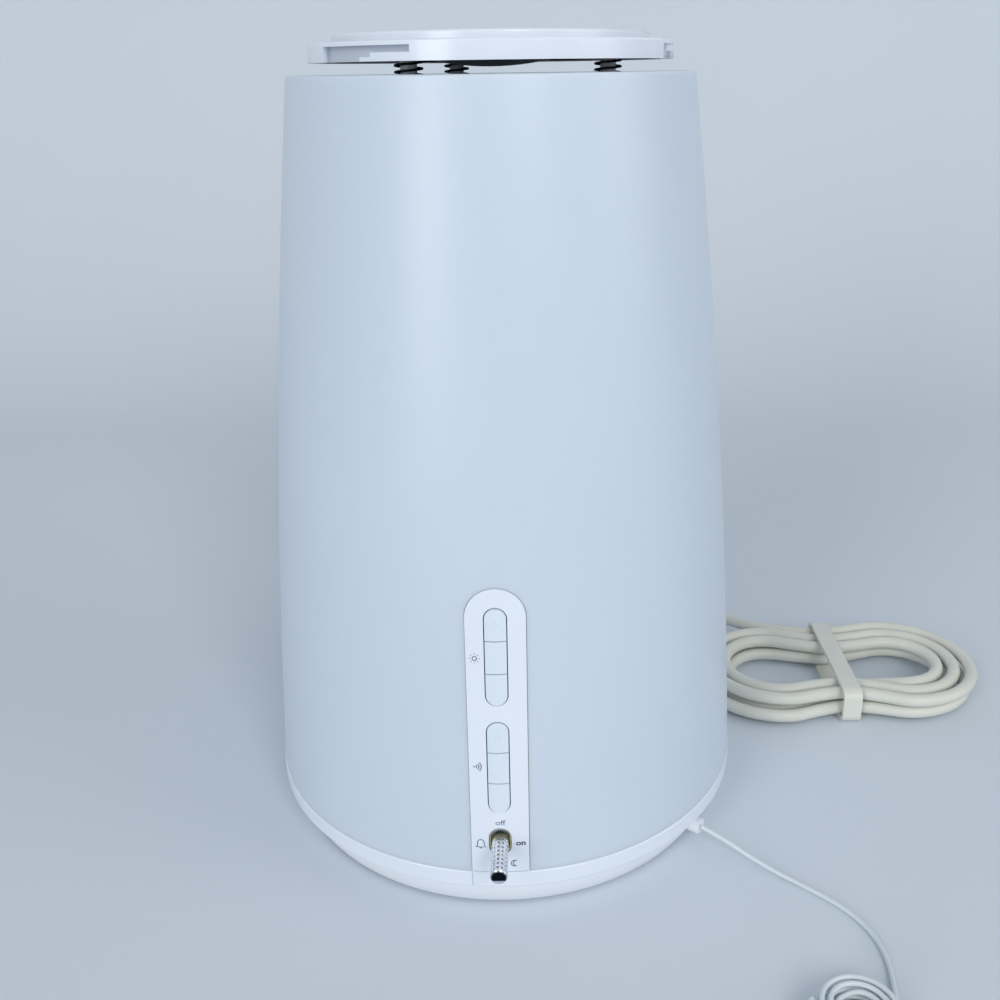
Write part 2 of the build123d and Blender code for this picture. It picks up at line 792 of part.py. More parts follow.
with BuildPart() as gimbal_ring:
    with BuildSketch(lever_plane.offset(-gimbal_thickness / 2)):
        Rectangle(gimbal_width, gimbal_tall)
        Rectangle(gimbal_hole_width, gimbal_hole_tall, mode=Mode.SUBTRACT)
    extrude(amount=gimbal_thickness)
    with BuildSketch(upright_plane):
        Circle(pin_radius)
    extrude(amount=gimbal_tall, both=True, mode=Mode.SUBTRACT)
    with BuildSketch(cross_plane):
        Circle(pin_radius + pin_gap)
    extrude(amount=gimbal_width, both=True, mode=Mode.SUBTRACT)
gimbal_ring.part.label = "gimbal_ring"
export_step(gimbal_ring.part, "parts/gimbal_ring.step")

with BuildPart() as lever_pins:
    pin_end = lever_hub_height / 4
    for side in (-1, 1):
        with BuildSketch(upright_plane.offset(side * pin_end)):
            Circle(pin_radius)
        extrude(amount=side * (gimbal_tall / 2 - pin_end))
lever_pins.part.label = "lever_pins"
export_step(lever_pins.part, "parts/lever_pins.step")

ear_inside = gimbal_width / 2 + ear_gap
with BuildPart() as gimbal_pins:
    pin_start = gimbal_hole_width / 2 + run_gap
    for side in (-1, 1):
        with BuildSketch(cross_plane.offset(side * pin_start)):
            Circle(pin_radius)
        extrude(amount=side * (ear_inside + ear_thickness - pin_start))
gimbal_pins.part.label = "gimbal_pins"
export_step(gimbal_pins.part, "parts/gimbal_pins.step")

ear_back = behind_keys(lever_height, stand_front - bracket_thickness / 2)
ear_front = pivot[1] - ear_tall / 3
with BuildPart() as lever_bracket:
    with BuildSketch(key_plane.offset(-stand_front)):
        with Locations(lever_spot):
            Rectangle(stand_width - 2 * ear_thickness, bracket_tall)
            Rectangle(2 * ear_inside, bracket_tall - 2 * bracket_thickness, mode=Mode.SUBTRACT)
    extrude(amount=bracket_thickness)
    for side in (-1, 1):
        with BuildSketch(Plane.YZ.offset(side * ear_inside)):
            with Locations(((ear_front + ear_back) / 2, lever_height)):
                Rectangle(ear_back - ear_front, ear_tall)
        extrude(amount=side * ear_thickness)
    with BuildSketch(cross_plane):
        Circle(pin_radius)
    extrude(amount=stand_width, both=True, mode=Mode.SUBTRACT)
lever_bracket.part.label = "lever_bracket"
export_step(lever_bracket.part, "parts/lever_bracket.step")

with BuildPart() as lever_bushing:
    with BuildSketch(key_plane.offset(-panel_depth)):
        with Locations(lever_spot):
            SlotOverall(bushing_tall + 2 * bushing_wall, bushing_width + 2 * bushing_wall, rotation=90)
            SlotOverall(bushing_tall, bushing_width, rotation=90, mode=Mode.SUBTRACT)
    extrude(amount=panel_depth - bushing_recess)
lever_bushing.part.label = "lever_bushing"
export_step(lever_bushing.part, "parts/lever_bushing.step")

lever_switch_spots = [
    (2 * lever_radius * across, lever_spot[1] + 2 * lever_radius * up)
    for across, up in ((1, 0), (-1, 0), (0, 1), (0, -1))
]
with BuildPart() as lever_board:
    with BuildSketch(key_plane.offset(-stand_back - board_thickness)):
        with Locations(lever_spot):
            Rectangle(stand_width - 2 * ear_thickness, stand_window_height + 2 * ear_thickness)
    extrude(amount=board_thickness)
    with BuildSketch(key_plane.offset(-stand_back)):
        with Locations(*lever_switch_spots):
            Rectangle(lever_switch_size, lever_switch_size)
    extrude(amount=lever_switch_height)
lever_board.part.label = "lever_board"
export_step(lever_board.part, "parts/lever_board.step")

# Inner housing, a drum that carries the lamp holder
with BuildPart() as inner_housing:
    revolve(band(housing_radius - housing_wall, housing_radius, skirt_height, housing_height), axis=Axis.Z)
    revolve(band(0, housing_radius, housing_height - housing_wall, housing_height), axis=Axis.Z)
    revolve(
        band(
            housing_radius - housing_wall, housing_radius + housing_flange,
            skirt_height, skirt_height + housing_flange_thickness,
        ),
        axis=Axis.Z,
    )
    with BuildSketch(Plane.XY.offset(skirt_height)):
        with PolarLocations(housing_screw_circle, housing_screw_count, start_angle=housing_screw_start):
            Circle(screw_radius + fit_gap)
    extrude(amount=housing_flange_thickness, mode=Mode.SUBTRACT)
inner_housing.part.label = "inner_housing"
export_step(inner_housing.part, "parts/inner_housing.step")

with BuildPart() as housing_screws:
    with BuildSketch(Plane.XY.offset(skirt_height + housing_flange_thickness)):
        with PolarLocations(housing_screw_circle, housing_screw_count, start_angle=housing_screw_start):
            Circle(screw_head_radius)
    extrude(amount=screw_head_height)
    with BuildSketch(Plane.XY.offset(deck_underside)):
        with PolarLocations(housing_screw_circle, housing_screw_count, start_angle=housing_screw_start):
            Circle(screw_radius - pin_gap)
    extrude(amount=deck_thickness + housing_flange_thickness)
housing_screws.part.label = "housing_screws"
export_step(housing_screws.part, "parts/housing_screws.step")

with BuildPart() as lamp_holder:
    revolve(band(0, holder_radius, holder_base, bulb_base), axis=Axis.Z)
    revolve(band(cap_radius + fit_gap, holder_radius, bulb_base, holder_base + holder_height), axis=Axis.Z)
    chamfer(lamp_holder.edges().group_by(Axis.Z)[-1].sort_by(SortBy.RADIUS)[-1], housing_wall)
lamp_holder.part.label = "lamp_holder"
export_step(lamp_holder.part, "parts/lamp_holder.step")

with BuildPart() as bulb_cap:
    revolve(band(0, cap_radius, bulb_base, glass_base), axis=Axis.Z)
    thread_pitch = cap_length / (2 * cap_thread_count)
    for turn in range(cap_thread_count):
        groove = bulb_base + (turn + 1) * thread_pitch
        revolve(
            band(cap_radius - cap_thread_depth, cap_radius + overrun, groove, groove + thread_pitch / 2),
            axis=Axis.Z,
            mode=Mode.SUBTRACT,
        )
bulb_cap.part.label = "bulb_cap"
export_step(bulb_cap.part, "parts/bulb_cap.step")


def bulb_outline(inset):
    """Half section of the bulb's glass, moved inwards by an inset."""
    neck = cap_radius - cap_thread_depth - inset
    wide = glass_radius - inset
    middle = glass_base + glass_length - glass_radius
    with BuildSketch(Plane.XZ) as face:
        with BuildLine():
            shoulder = Bezier(
                (neck, glass_base), (neck, (glass_base + middle) / 2),
                (wide, (glass_base + middle) / 2), (wide, middle),
            )
            dome = CenterArc((0, middle), wide, 0, 90)
            Polyline(dome @ 1, (0, glass_base), shoulder @ 0)
        make_face()
    return face.sketch


with BuildPart() as bulb_glass:
    revolve(bulb_outline(0), axis=Axis.Z)
    revolve(bulb_outline(glass_wall), axis=Axis.Z, mode=Mode.SUBTRACT)
bulb_glass.part.label = "bulb_glass"
export_step(bulb_glass.part, "parts/bulb_glass.step")

# Speaker, facing down through the deck, and the main board above it
speaker_top = skirt_height + speaker_depth
with BuildPart() as speaker_frame:
    revolve(
        outline(
            [
                (speaker_hole_radius, skirt_height),
                (speaker_radius, skirt_height),
                (speaker_radius, skirt_height + speaker_flange),
                (speaker_hole_radius + speaker_wall, skirt_height + speaker_flange),
                (speaker_neck_radius + speaker_wall, speaker_top),
                (0, speaker_top),
                (0, speaker_top - speaker_wall),
                (speaker_neck_radius, speaker_top - speaker_wall),
            ]
        ),
        axis=Axis.Z,
    )
speaker_frame.part.label = "speaker_frame"
export_step(speaker_frame.part, "parts/speaker_frame.step")

with BuildPart() as speaker_cone:
    cone_rim = speaker_hole_radius - 2 * run_gap
    cone_bottom = skirt_height - run_gap
    revolve(
        outline(
            [
                (cone_rim, cone_bottom),
                (cone_rim, cone_bottom + cone_wall),
                (cone_neck_radius, cone_bottom + cone_depth),
                (0, cone_bottom + cone_depth),
                (0, cone_bottom + cone_depth - cone_wall),
                (cone_neck_radius - cone_wall, cone_bottom + cone_depth - cone_wall),
                (cone_rim - 2 * cone_wall, cone_bottom),
            ]
        ),
        axis=Axis.Z,
    )
speaker_cone.part.label = "speaker_cone"
export_step(speaker_cone.part, "parts/speaker_cone.step")

with BuildPart() as speaker_magnet:
    with BuildSketch(Plane.XY.offset(speaker_top)):
        Circle(magnet_radius)
    extrude(amount=magnet_height)
speaker_magnet.part.label = "speaker_magnet"
export_step(speaker_magnet.part, "parts/speaker_magnet.step")

with BuildPart() as main_board:
    with BuildSketch(Plane.XY.offset(main_board_height)):
        Circle(main_board_radius)
    extrude(amount=board_thickness)
main_board.part.label = "main_board"
export_step(main_board.part, "parts/main_board.step")

with BuildPart() as board_pillars:
    with BuildSketch(Plane.XY.offset(skirt_height)):
        with PolarLocations(pillar_circle, pillar_count, start_angle=180 / pillar_count):
            RegularPolygon(pillar_radius, 6)
    extrude(amount=main_board_height - skirt_height)
board_pillars.part.label = "board_pillars"
export_step(board_pillars.part, "parts/board_pillars.step")

with BuildPart() as transformer:
    with Locations((*transformer_place, board_top_height)):
        Box(*transformer_size, align=(Align.CENTER, Align.CENTER, Align.MIN))
    chamfer(transformer.edges().filter_by(Axis.Z), housing_wall)
transformer.part.label = "transformer"
export_step(transformer.part, "parts/transformer.step")

with BuildPart() as capacitors:
    with BuildSketch(Plane.XY.offset(board_top_height)):
        with Locations(*capacitor_places):
            Circle(capacitor_radius)
    extrude(amount=capacitor_height)
    fillet(capacitors.edges().group_by(Axis.Z)[-1], capacitor_radius / 8)
capacitors.part.label = "capacitors"
export_step(capacitors.part, "parts/capacitors.step")

with BuildPart() as heat_sink:
    with BuildSketch(Plane.XY.offset(board_top_height)):
        with Locations((sink_place[0], sink_place[1] + sink_size[1] / 2 - sink_base / 2)):
            Rectangle(sink_size[0], sink_base)
        for fin in range(sink_fin_count):
            across = (fin / (sink_fin_count - 1) - 1 / 2) * (sink_size[0] - sink_fin)
            with Locations((sink_place[0] + across, sink_place[1])):
                Rectangle(sink_fin, sink_size[1])
    extrude(amount=sink_size[2])
heat_sink.part.label = "heat_sink"
export_step(heat_sink.part, "parts/heat_sink.step")

# Collar in the shade's top: bayonet lugs, spring plate, post sleeves and vents
post_start = post_angle - 90
slot_angles = [lug_angle + 360 * turn / post_count for turn in range(post_count)]
with BuildPart() as lid_collar:
    revolve(
        band(
            collar_inner_radius, collar_inner_radius + collar_wall,
            plate_bottom, shade_height - collar_top_gap,
        ),
        axis=Axis.Z,
    )
    plate_outer = shade_radius(plate_top) - shade_wall - fit_gap
    revolve(band(collar_hole_radius, plate_outer, plate_bottom, plate_top), axis=Axis.Z)
    for angle in slot_angles:
        extrude(
            wedge(
                collar_inner_radius - lug_reach, collar_inner_radius + collar_wall / 2,
                angle - lug_width / 2, lug_width, lug_height - lug_thickness / 2,
            ),
            amount=lug_thickness,
        )
    with BuildSketch(Plane.XY.offset(plate_bottom)):
        with PolarLocations(post_circle, post_count, start_angle=post_start):
            Circle(sleeve_radius)
    extrude(amount=-sleeve_length)
    with BuildSketch(Plane.XY.offset(plate_top)):
        with PolarLocations(post_circle, post_count, start_angle=post_start):
            Circle(post_radius + pin_gap)
        with PolarLocations(vent_circle, vent_count):
            SlotOverall(vent_length, vent_width)
    extrude(amount=-collar_plate - sleeve_length, mode=Mode.SUBTRACT)
lid_collar.part.label = "lid_collar"
export_step(lid_collar.part, "parts/lid_collar.step")

with BuildPart() as press_ring:
    revolve(band(press_ring_inner, press_ring_outer, press_bottom, press_top), axis=Axis.Z)
press_ring.part.label = "press_ring"
export_step(press_ring.part, "parts/press_ring.step")

post_bottom = plate_bottom - sleeve_length - run_gap
with BuildPart() as spring_posts:
    with BuildSketch(Plane.XY.offset(post_bottom)):
        with PolarLocations(post_circle, post_count, start_angle=post_start):
            Circle(post_radius)
    extrude(amount=press_bottom - post_bottom)
    with BuildSketch(Plane.XY.offset(post_bottom - post_head_height)):
        with PolarLocations(post_circle, post_count, start_angle=post_start):
            Circle(post_head_radius)
    extrude(amount=post_head_height)
spring_posts.part.label = "spring_posts"
export_step(spring_posts.part, "parts/spring_posts.step")

with BuildPart() as glide_ring:
    revolve(band(press_ring_inner, press_ring_outer, press_top + run_gap, glide_top), axis=Axis.Z)
glide_ring.part.label = "glide_ring"
export_step(glide_ring.part, "parts/glide_ring.step")

# Lid: a rim with three bayonet slots, a top disc and a dished shield underneath
with BuildPart() as lid_rim:
    revolve(band(rim_radius - rim_wall, rim_radius, rim_bottom, rim_top), axis=Axis.Z)
    revolve(band(web_hole_radius, rim_radius - rim_wall / 2, web_bottom, rim_top), axis=Axis.Z)
    fillet(lid_rim.edges().group_by(Axis.Z)[-1].sort_by(SortBy.RADIUS)[-1], rim_edge)
    for angle in slot_angles:
        entry = angle - slot_entry / 2
        for start, width, bottom in (
            (entry, slot_entry, rim_bottom),
            (entry + slot_entry, slot_ramp, (rim_bottom + slot_top - slot_height) / 2),
            (entry + slot_entry, slot_run, slot_top - slot_height),
        ):
            extrude(
                wedge(rim_radius - slot_depth, rim_radius + overrun, start, width, bottom),
                amount=slot_top - bottom,
                mode=Mode.SUBTRACT,
            )
    with BuildSketch(Plane.XY.offset(web_bottom)):
        with PolarLocations(lid_screw_circle, lid_screw_count):
            Circle(lid_screw_radius + pin_gap)
    extrude(amount=web_thickness, mode=Mode.SUBTRACT)
lid_rim.part.label = "lid_rim"
export_step(lid_rim.part, "parts/lid_rim.step")

with BuildPart() as lid_disc:
    revolve(band(0, disc_radius, rim_top, rim_top + disc_thickness), axis=Axis.Z)
    fillet(lid_disc.edges().group_by(Axis.Z)[-1], disc_edge)
    revolve(band(0, web_hole_radius - fit_gap, web_bottom, rim_top), axis=Axis.Z)
    with BuildSketch(Plane.XY.offset(rim_top)):
        with PolarLocations(lid_screw_circle, lid_screw_count):
            Circle(lid_screw_radius)
    extrude(amount=disc_thickness / 2, mode=Mode.SUBTRACT)
lid_disc.part.label = "lid_disc"
export_step(lid_disc.part, "parts/lid_disc.step")

with BuildPart() as lid_shield:
    with BuildSketch(Plane.XZ):
        with BuildLine():
            dish_curve = (shield_dish_radius**2 + shield_dish_depth**2) / (2 * shield_dish_depth)
            dish_bottom = shield_bottom - shield_dish_depth
            under = RadiusArc((shield_dish_radius, shield_bottom), (0, dish_bottom), dish_curve)
            over = RadiusArc(
                (shield_dish_radius, shield_top), (0, dish_bottom + shield_thickness), dish_curve
            )
            Polyline(under @ 0, (shield_radius, shield_bottom), (shield_radius, shield_top), over @ 0)
            Line(under @ 1, over @ 1)
        make_face()
    revolve(axis=Axis.Z)
    with BuildSketch(Plane.XY.offset(shield_bottom)):
        with PolarLocations(lid_screw_circle, lid_screw_count):
            Circle(lid_screw_radius + pin_gap)
    extrude(amount=shield_thickness, mode=Mode.SUBTRACT)
lid_shield.part.label = "lid_shield"
export_step(lid_shield.part, "parts/lid_shield.step")

with BuildPart() as lid_screws:
    with BuildSketch(Plane.XY.offset(shield_bottom - lid_screw_head_height)):
        with PolarLocations(lid_screw_circle, lid_screw_count):
            Circle(lid_screw_head)
    extrude(amount=lid_screw_head_height)
    with BuildSketch(Plane.XY.offset(shield_bottom)):
        with PolarLocations(lid_screw_circle, lid_screw_count):
            Circle(lid_screw_radius - pin_gap)
    extrude(amount=shield_thickness + web_thickness + disc_thickness / 3)
lid_screws.part.label = "lid_screws"
export_step(lid_screws.part, "parts/lid_screws.step")


def wind(stations):
    """Draw biarcs through (point, direction) stations in the open line."""
    for (start, leaving), (end, arriving) in zip(stations, stations[1:]):
        start, end = Vector(start), Vector(end)
        leaving, arriving = Vector(leaving).normalized(), Vector(arriving).normalized()
        span = end - start
        turn = 2 * (1 - leaving.dot(arriving))
        along = span.dot(leaving + arriving)
        if turn > straight_share:
            reach = ((along**2 + turn * span.dot(span)) ** 0.5 - along) / turn
        else:
            reach = span.dot(span) / (4 * span.dot(arriving))
        first, last = start + leaving * reach, end - arriving * reach
        joint = (first + last) / 2
        TangentArc(start, joint, tangent=leaving)
        TangentArc(joint, end, tangent=last - first)


def least_gap(line, diameter):
    """Print a wound tube's length and its least gap to itself, measured on points."""
    points = []
    for edge in line.edges():
        count = max(2, round(edge.length / (diameter / 2)))
        points += [edge.position_at(step / count) for step in range(count)]
    apart = 8
    gap = min(
        (points[here] - points[there]).length
        for here in range(len(points))
        for there in range(here + apart, len(points))
    )
    length = sum(edge.length for edge in line.edges())
    return f"length {length:.0f} mm, least gap {gap - diameter:.2f} mm"


# Springs round the posts
with BuildPart() as lid_springs:
    spring_low = plate_top + spring_wire / 2 + pin_gap
    spring_rise = press_bottom - plate_top - spring_wire - 2 * pin_gap
    spring_pitch = spring_rise / spring_turns
    climb = spring_pitch / (2 * pi * spring_radius)
    for post in range(post_count):
        seat = around(post_circle, post_angle + 360 * post / post_count, spring_low)
        stations = []
        for half_turn in range(2 * spring_turns + 1):
            way = 1 if half_turn % 2 == 0 else -1
            height = half_turn * spring_pitch / 2
            stations.append(
                ((seat[0] + way * spring_radius, seat[1], seat[2] + height), (0, way, climb))
            )
        with BuildLine() as spring_line:
            wind(stations)
        with BuildSketch(Plane(stations[0][0], z_dir=stations[0][1])):
            Circle(spring_wire / 2)
        sweep(path=spring_line.line)
    print("lid_springs:", least_gap(spring_line.line, spring_wire))
lid_springs.part.label = "lid_springs"
export_step(lid_springs.part, "parts/lid_springs.step")

# Strain relief at the back, a tapered boot with grooves
with BuildPart() as strain_relief:
    boot_root = skirt_bottom_radius - tub_wall + 2 * fit_gap
    boot_plane = Plane((0, boot_root, cord_exit_height), x_dir=(1, 0, 0), z_dir=(0, 1, 0))
    boot_straight = skirt_top_radius - boot_root
    with Locations(boot_plane):
        Cylinder(boot_radius, boot_straight, align=(Align.CENTER, Align.CENTER, Align.MIN))
    with Locations(boot_plane.offset(boot_straight)):
        Cone(boot_radius, boot_tip_radius, boot_length, align=(Align.CENTER, Align.CENTER, Align.MIN))
    for rib in range(boot_rib_count):
        along = boot_straight + boot_length * (rib + 1) / (boot_rib_count + 1)
        with BuildSketch(boot_plane.offset(along)):
            Circle(boot_radius + overrun)
            Circle(boot_tip_radius - boot_rib_depth, mode=Mode.SUBTRACT)
        extrude(amount=boot_rib_width, mode=Mode.SUBTRACT)
strain_relief.part.label = "strain_relief"
export_step(strain_relief.part, "parts/strain_relief.step")


def hank_station(step):
    """Point and direction on the hank: six stations a loop, drawn in at the waist."""
    loops = abs(step - hank_turn_back) / 6
    fold = hank_fold_radius + hank_step * loops
    waist = fold - hank_waist_draw
    half = hank_half_run
    layer = 0 if step < hank_turn_back else 1
    place, way = {
        0: ((0, -waist), (1, 0)),
        1: ((half, -fold), (1, 0)),
        2: ((half, fold), (-1, 0)),
        3: ((0, waist), (-1, 0)),
        4: ((-half, fold), (-1, 0)),
        4.5: ((-half - fold, 0), (0, -1)),
        5: ((-half, -fold), (1, 0)),
    }[step % 6]
    height = hank_floor + layer * hank_layer_step
    return (hank_center[0] + place[0], hank_center[1] + place[1], height), (*way, 0)


def corner_radii(name, route):
    """The largest arc that each corner of a route has room for, printed as well."""
    radii = []
    for before, corner, after in zip(route, route[1:], route[2:]):
        incoming, outgoing = Vector(corner) - Vector(before), Vector(after) - Vector(corner)
        shorter = min(incoming.length, outgoing.length)
        radii.append(run_share * shorter / tan(radians(incoming.get_angle(outgoing) / 2)))
    print(name, "radii", [round(radius) for radius in radii])
    return radii


def tube_note(name, tube, line, radius):
    """Print a tube's volume against its section times its length."""
    length = sum(edge.length for edge in line.edges())
    share = tube.volume / (pi * radius**2 * length)
    print(f"{name}: length {length:.0f} mm, volume share {share:.4f}")


hank_steps = [hank_first, *range(int(hank_first) + 1, hank_last + 1)]
hank_stations = [hank_station(step) for step in hank_steps]
run_route = [*cord_route, hank_stations[0][0]]
end_route = [hank_stations[-1][0], *plug_route]
hank_stations[0] = (run_route[-1], Vector(run_route[-1]) - Vector(run_route[-2]))
hank_stations[-1] = (end_route[0], Vector(end_route[1]) - Vector(end_route[0]))

with BuildPart() as mains_cord_run:
    with BuildLine() as run_line:
        FilletPolyline(*run_route, radius=corner_radii("mains_cord_run", run_route))
    with BuildSketch(Plane(run_route[0], z_dir=Vector(run_route[1]) - Vector(run_route[0]))):
        Circle(cord_radius)
    sweep(path=run_line.line)
tube_note("mains_cord_run", mains_cord_run.part, run_line.line, cord_radius)
mains_cord_run.part.label = "mains_cord_run"
export_step(mains_cord_run.part, "parts/mains_cord_run.step")

with BuildPart() as mains_cord_hank:
    with BuildLine() as hank_line:
        wind(hank_stations)
    with BuildSketch(Plane(hank_stations[0][0], z_dir=hank_stations[0][1])):
        Circle(cord_radius)
    sweep(path=hank_line.line)
print("mains_cord_hank:", least_gap(hank_line.line, 2 * cord_radius))
tube_note("mains_cord_hank", mains_cord_hank.part, hank_line.line, cord_radius)
mains_cord_hank.part.label = "mains_cord_hank"
export_step(mains_cord_hank.part, "parts/mains_cord_hank.step")

with BuildPart() as mains_cord_end:
    with BuildLine() as end_line:
        FilletPolyline(*end_route, radius=corner_radii("mains_cord_end", end_route))
    with BuildSketch(Plane(end_route[0], z_dir=Vector(end_route[1]) - Vector(end_route[0]))):
        Circle(cord_radius)
    sweep(path=end_line.line)
tube_note("mains_cord_end", mains_cord_end.part, end_line.line, cord_radius)
mains_cord_end.part.label = "mains_cord_end"
export_step(mains_cord_end.part, "parts/mains_cord_end.step")

# Tie round the hank's waist
tie_waist = hank_fold_radius - hank_waist_draw + hank_step * hank_widest
tie_inner_width = 2 * (tie_waist + cord_radius + 2 * tie_gap)
tie_inner_tall = hank_layer_step + 2 * (cord_radius + tie_gap)
with BuildPart() as cord_tie:
    with BuildSketch(Plane.YZ.offset(hank_center[0] - tie_width / 2)):
        with Locations((hank_center[1], tie_thickness + tie_inner_tall / 2)):
            RectangleRounded(
                tie_inner_width + 2 * tie_thickness, tie_inner_tall + 2 * tie_thickness,
                cord_radius + tie_thickness,
            )
            RectangleRounded(tie_inner_width, tie_inner_tall, cord_radius, mode=Mode.SUBTRACT)
    extrude(amount=tie_width)
cord_tie.part.label = "cord_tie"
export_step(cord_tie.part, "parts/cord_tie.step")

# Flat two-pin plug at the lead's end
plug_way = Vector(end_route[-1]) - Vector(end_route[-2])
plug_plane = Plane(end_route[-1], x_dir=Vector(0, 0, 1).cross(plug_way), z_dir=plug_way)
with BuildPart() as plug_body:
    with BuildSketch(plug_plane):
        Circle(cord_radius + boot_rib_depth)
    with BuildSketch(plug_plane.offset(plug_neck_length)):
        RectangleRounded(plug_width * plug_taper_share, plug_thickness * plug_taper_share, plug_round)
    loft()
    with BuildSketch(plug_plane.offset(plug_neck_length)):
        RectangleRounded(plug_width, plug_thickness, plug_round)
    extrude(amount=plug_length)
plug_body.part.label = "plug_body"
export_step(plug_body.part, "parts/plug_body.step")

with BuildPart() as plug_pins:
    with BuildSketch(plug_plane.offset(plug_neck_length + plug_length)):
        with Locations((-plug_pin_spread / 2, 0), (plug_pin_spread / 2, 0)):
            Circle(plug_pin_radius)
    extrude(amount=pin_length)
    fillet(plug_pins.edges().group_by(Axis.X)[0], plug_pin_radius / 2)
plug_pins.part.label = "plug_pins"
export_step(plug_pins.part, "parts/plug_pins.step")

# Aerial wire with its grommet and coil
aerial_way = around(1, aerial_angle, 0)
aerial_exit = around(grommet_reach + run_gap, aerial_angle, aerial_exit_height)
with BuildPart() as aerial_grommet:
    with BuildSketch(
        Plane(around(skirt_bottom_radius - tub_wall, aerial_angle, aerial_exit_height), z_dir=aerial_way)
    ):
        Circle(grommet_radius)
    extrude(amount=grommet_reach - skirt_bottom_radius + tub_wall)
aerial_grommet.part.label = "aerial_grommet"
export_step(aerial_grommet.part, "parts/aerial_grommet.step")


def coil_station(half_turns):
    """Point and direction on the coil, which spirals in and out again layer by layer."""
    turns = half_turns / 2 + 1 / 4
    layer = int(turns // coil_turns)
    into = turns - layer * coil_turns
    loops = coil_turns - into if layer % 2 == 0 else into
    radius = coil_inner_radius + coil_step * loops
    angle = radians(coil_start_angle - 180 * half_turns)
    height = aerial_radius + coil_floor_gap + layer * coil_layer_step
    place = (coil_center[0] + radius * cos(angle), coil_center[1] + radius * sin(angle), height)
    return place, (sin(angle), -cos(angle), 0)


coil_stations = [coil_station(half) for half in range(2 * coil_turns * coil_layers)]
aerial_line_route = [aerial_exit, *aerial_route, coil_stations[0][0]]
coil_stations[0] = (coil_stations[0][0], Vector(aerial_line_route[-1]) - Vector(aerial_line_route[-2]))
with BuildPart() as aerial_run:
    with BuildLine() as aerial_line:
        FilletPolyline(*aerial_line_route, radius=corner_radii("aerial_run", aerial_line_route))
    with BuildSketch(Plane(aerial_exit, z_dir=Vector(aerial_line_route[1]) - Vector(aerial_exit))):
        Circle(aerial_radius)
    sweep(path=aerial_line.line)
tube_note("aerial_run", aerial_run.part, aerial_line.line, aerial_radius)
aerial_run.part.label = "aerial_run"
export_step(aerial_run.part, "parts/aerial_run.step")

with BuildPart() as aerial_coil:
    with BuildLine() as coil_line:
        wind(coil_stations)
    with BuildSketch(Plane(coil_stations[0][0], z_dir=coil_stations[0][1])):
        Circle(aerial_radius)
    sweep(path=coil_line.line)
print("aerial_coil:", least_gap(coil_line.line, 2 * aerial_radius))
tube_note("aerial_coil", aerial_coil.part, coil_line.line, aerial_radius)
aerial_coil.part.label = "aerial_coil"
export_step(aerial_coil.part, "parts/aerial_coil.step")
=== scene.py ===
# %% [markdown]
# # A wake-up light
# This lesson dresses a measured bedside wake-up light: an opal shade on a low base, a glossy
# strip of keys with a small chrome stick, a lid that stands raised on three springs, a tied
# mains lead and a coiled aerial wire. The solids are already right, so they are loaded as a
# fixed frame, and only what the eye still misses is added: finishes, printed marks, raised
# key marks, dents in the stick, smoothly shaded springs, and the two cords.

# %% The fixed frame
from math import atan2, cos, pi, radians, sin, sqrt

import bpy
from mathutils import Matrix, Vector


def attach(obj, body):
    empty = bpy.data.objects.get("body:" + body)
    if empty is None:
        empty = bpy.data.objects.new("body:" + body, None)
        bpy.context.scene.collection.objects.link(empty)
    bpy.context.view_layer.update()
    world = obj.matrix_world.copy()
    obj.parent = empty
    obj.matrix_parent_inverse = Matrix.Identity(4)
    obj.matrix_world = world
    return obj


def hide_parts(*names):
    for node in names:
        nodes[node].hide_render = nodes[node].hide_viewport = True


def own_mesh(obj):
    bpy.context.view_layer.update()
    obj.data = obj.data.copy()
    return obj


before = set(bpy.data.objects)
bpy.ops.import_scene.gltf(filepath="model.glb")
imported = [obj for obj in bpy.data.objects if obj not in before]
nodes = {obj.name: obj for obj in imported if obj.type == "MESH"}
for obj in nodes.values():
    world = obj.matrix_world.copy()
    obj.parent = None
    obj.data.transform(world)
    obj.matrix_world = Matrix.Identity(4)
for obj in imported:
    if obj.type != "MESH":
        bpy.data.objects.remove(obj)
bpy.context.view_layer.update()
scene = bpy.context.scene
scene.view_settings.view_transform = "Standard"
MM = 0.001

# %% [markdown]
# ## The camera
# The camera comes first, because every later choice is judged through it. Its place was found
# by fitting the lamp's rims, strip and keys to a picture of the object: level with the lid and
# close to the lamp, tilted down and rolled slightly. A close camera makes the base look wide,
# so a longer lens further away could not give the same picture. The lens is shifted a little,
# because the picture's middle is not where the lens pointed.

# %% Camera
CAMERA_PLACE = (12.19 * MM, -334.87 * MM, 240.6 * MM)
CAMERA_TURN = radians(0.48)
CAMERA_PITCH = radians(21.33)
CAMERA_ROLL = radians(-0.79)
SENSOR_MM = 36
FOCAL_SHARE = 1.069
SHIFT_SHARES = (-0.0295, -0.0122)
CLIP_START = 0.01

camera_data = bpy.data.cameras.new("camera")
camera_data.sensor_width = SENSOR_MM
camera_data.lens = SENSOR_MM * FOCAL_SHARE
camera_data.shift_x, camera_data.shift_y = SHIFT_SHARES
camera_data.clip_start = CLIP_START
camera = bpy.data.objects.new("camera", camera_data)
scene.collection.objects.link(camera)
turned = Matrix.Rotation(CAMERA_TURN, 4, "Z")
tilted = Matrix.Rotation(pi / 2 - CAMERA_PITCH, 4, "X")
rolled = Matrix.Rotation(CAMERA_ROLL, 4, "Z")
camera.matrix_world = Matrix.Translation(CAMERA_PLACE) @ turned @ tilted @ rolled
scene.camera = camera
print("camera at", [round(v, 3) for v in camera.matrix_world.translation])

# %% [markdown]
# ## Colour and node helpers
# Colours are written as the sRGB values that one sees, and Blender's shaders want linear light,
# so one function turns them. Another adds a node, sets its sockets or settings by name, and
# links what feeds it. That is all the help a node tree needs.

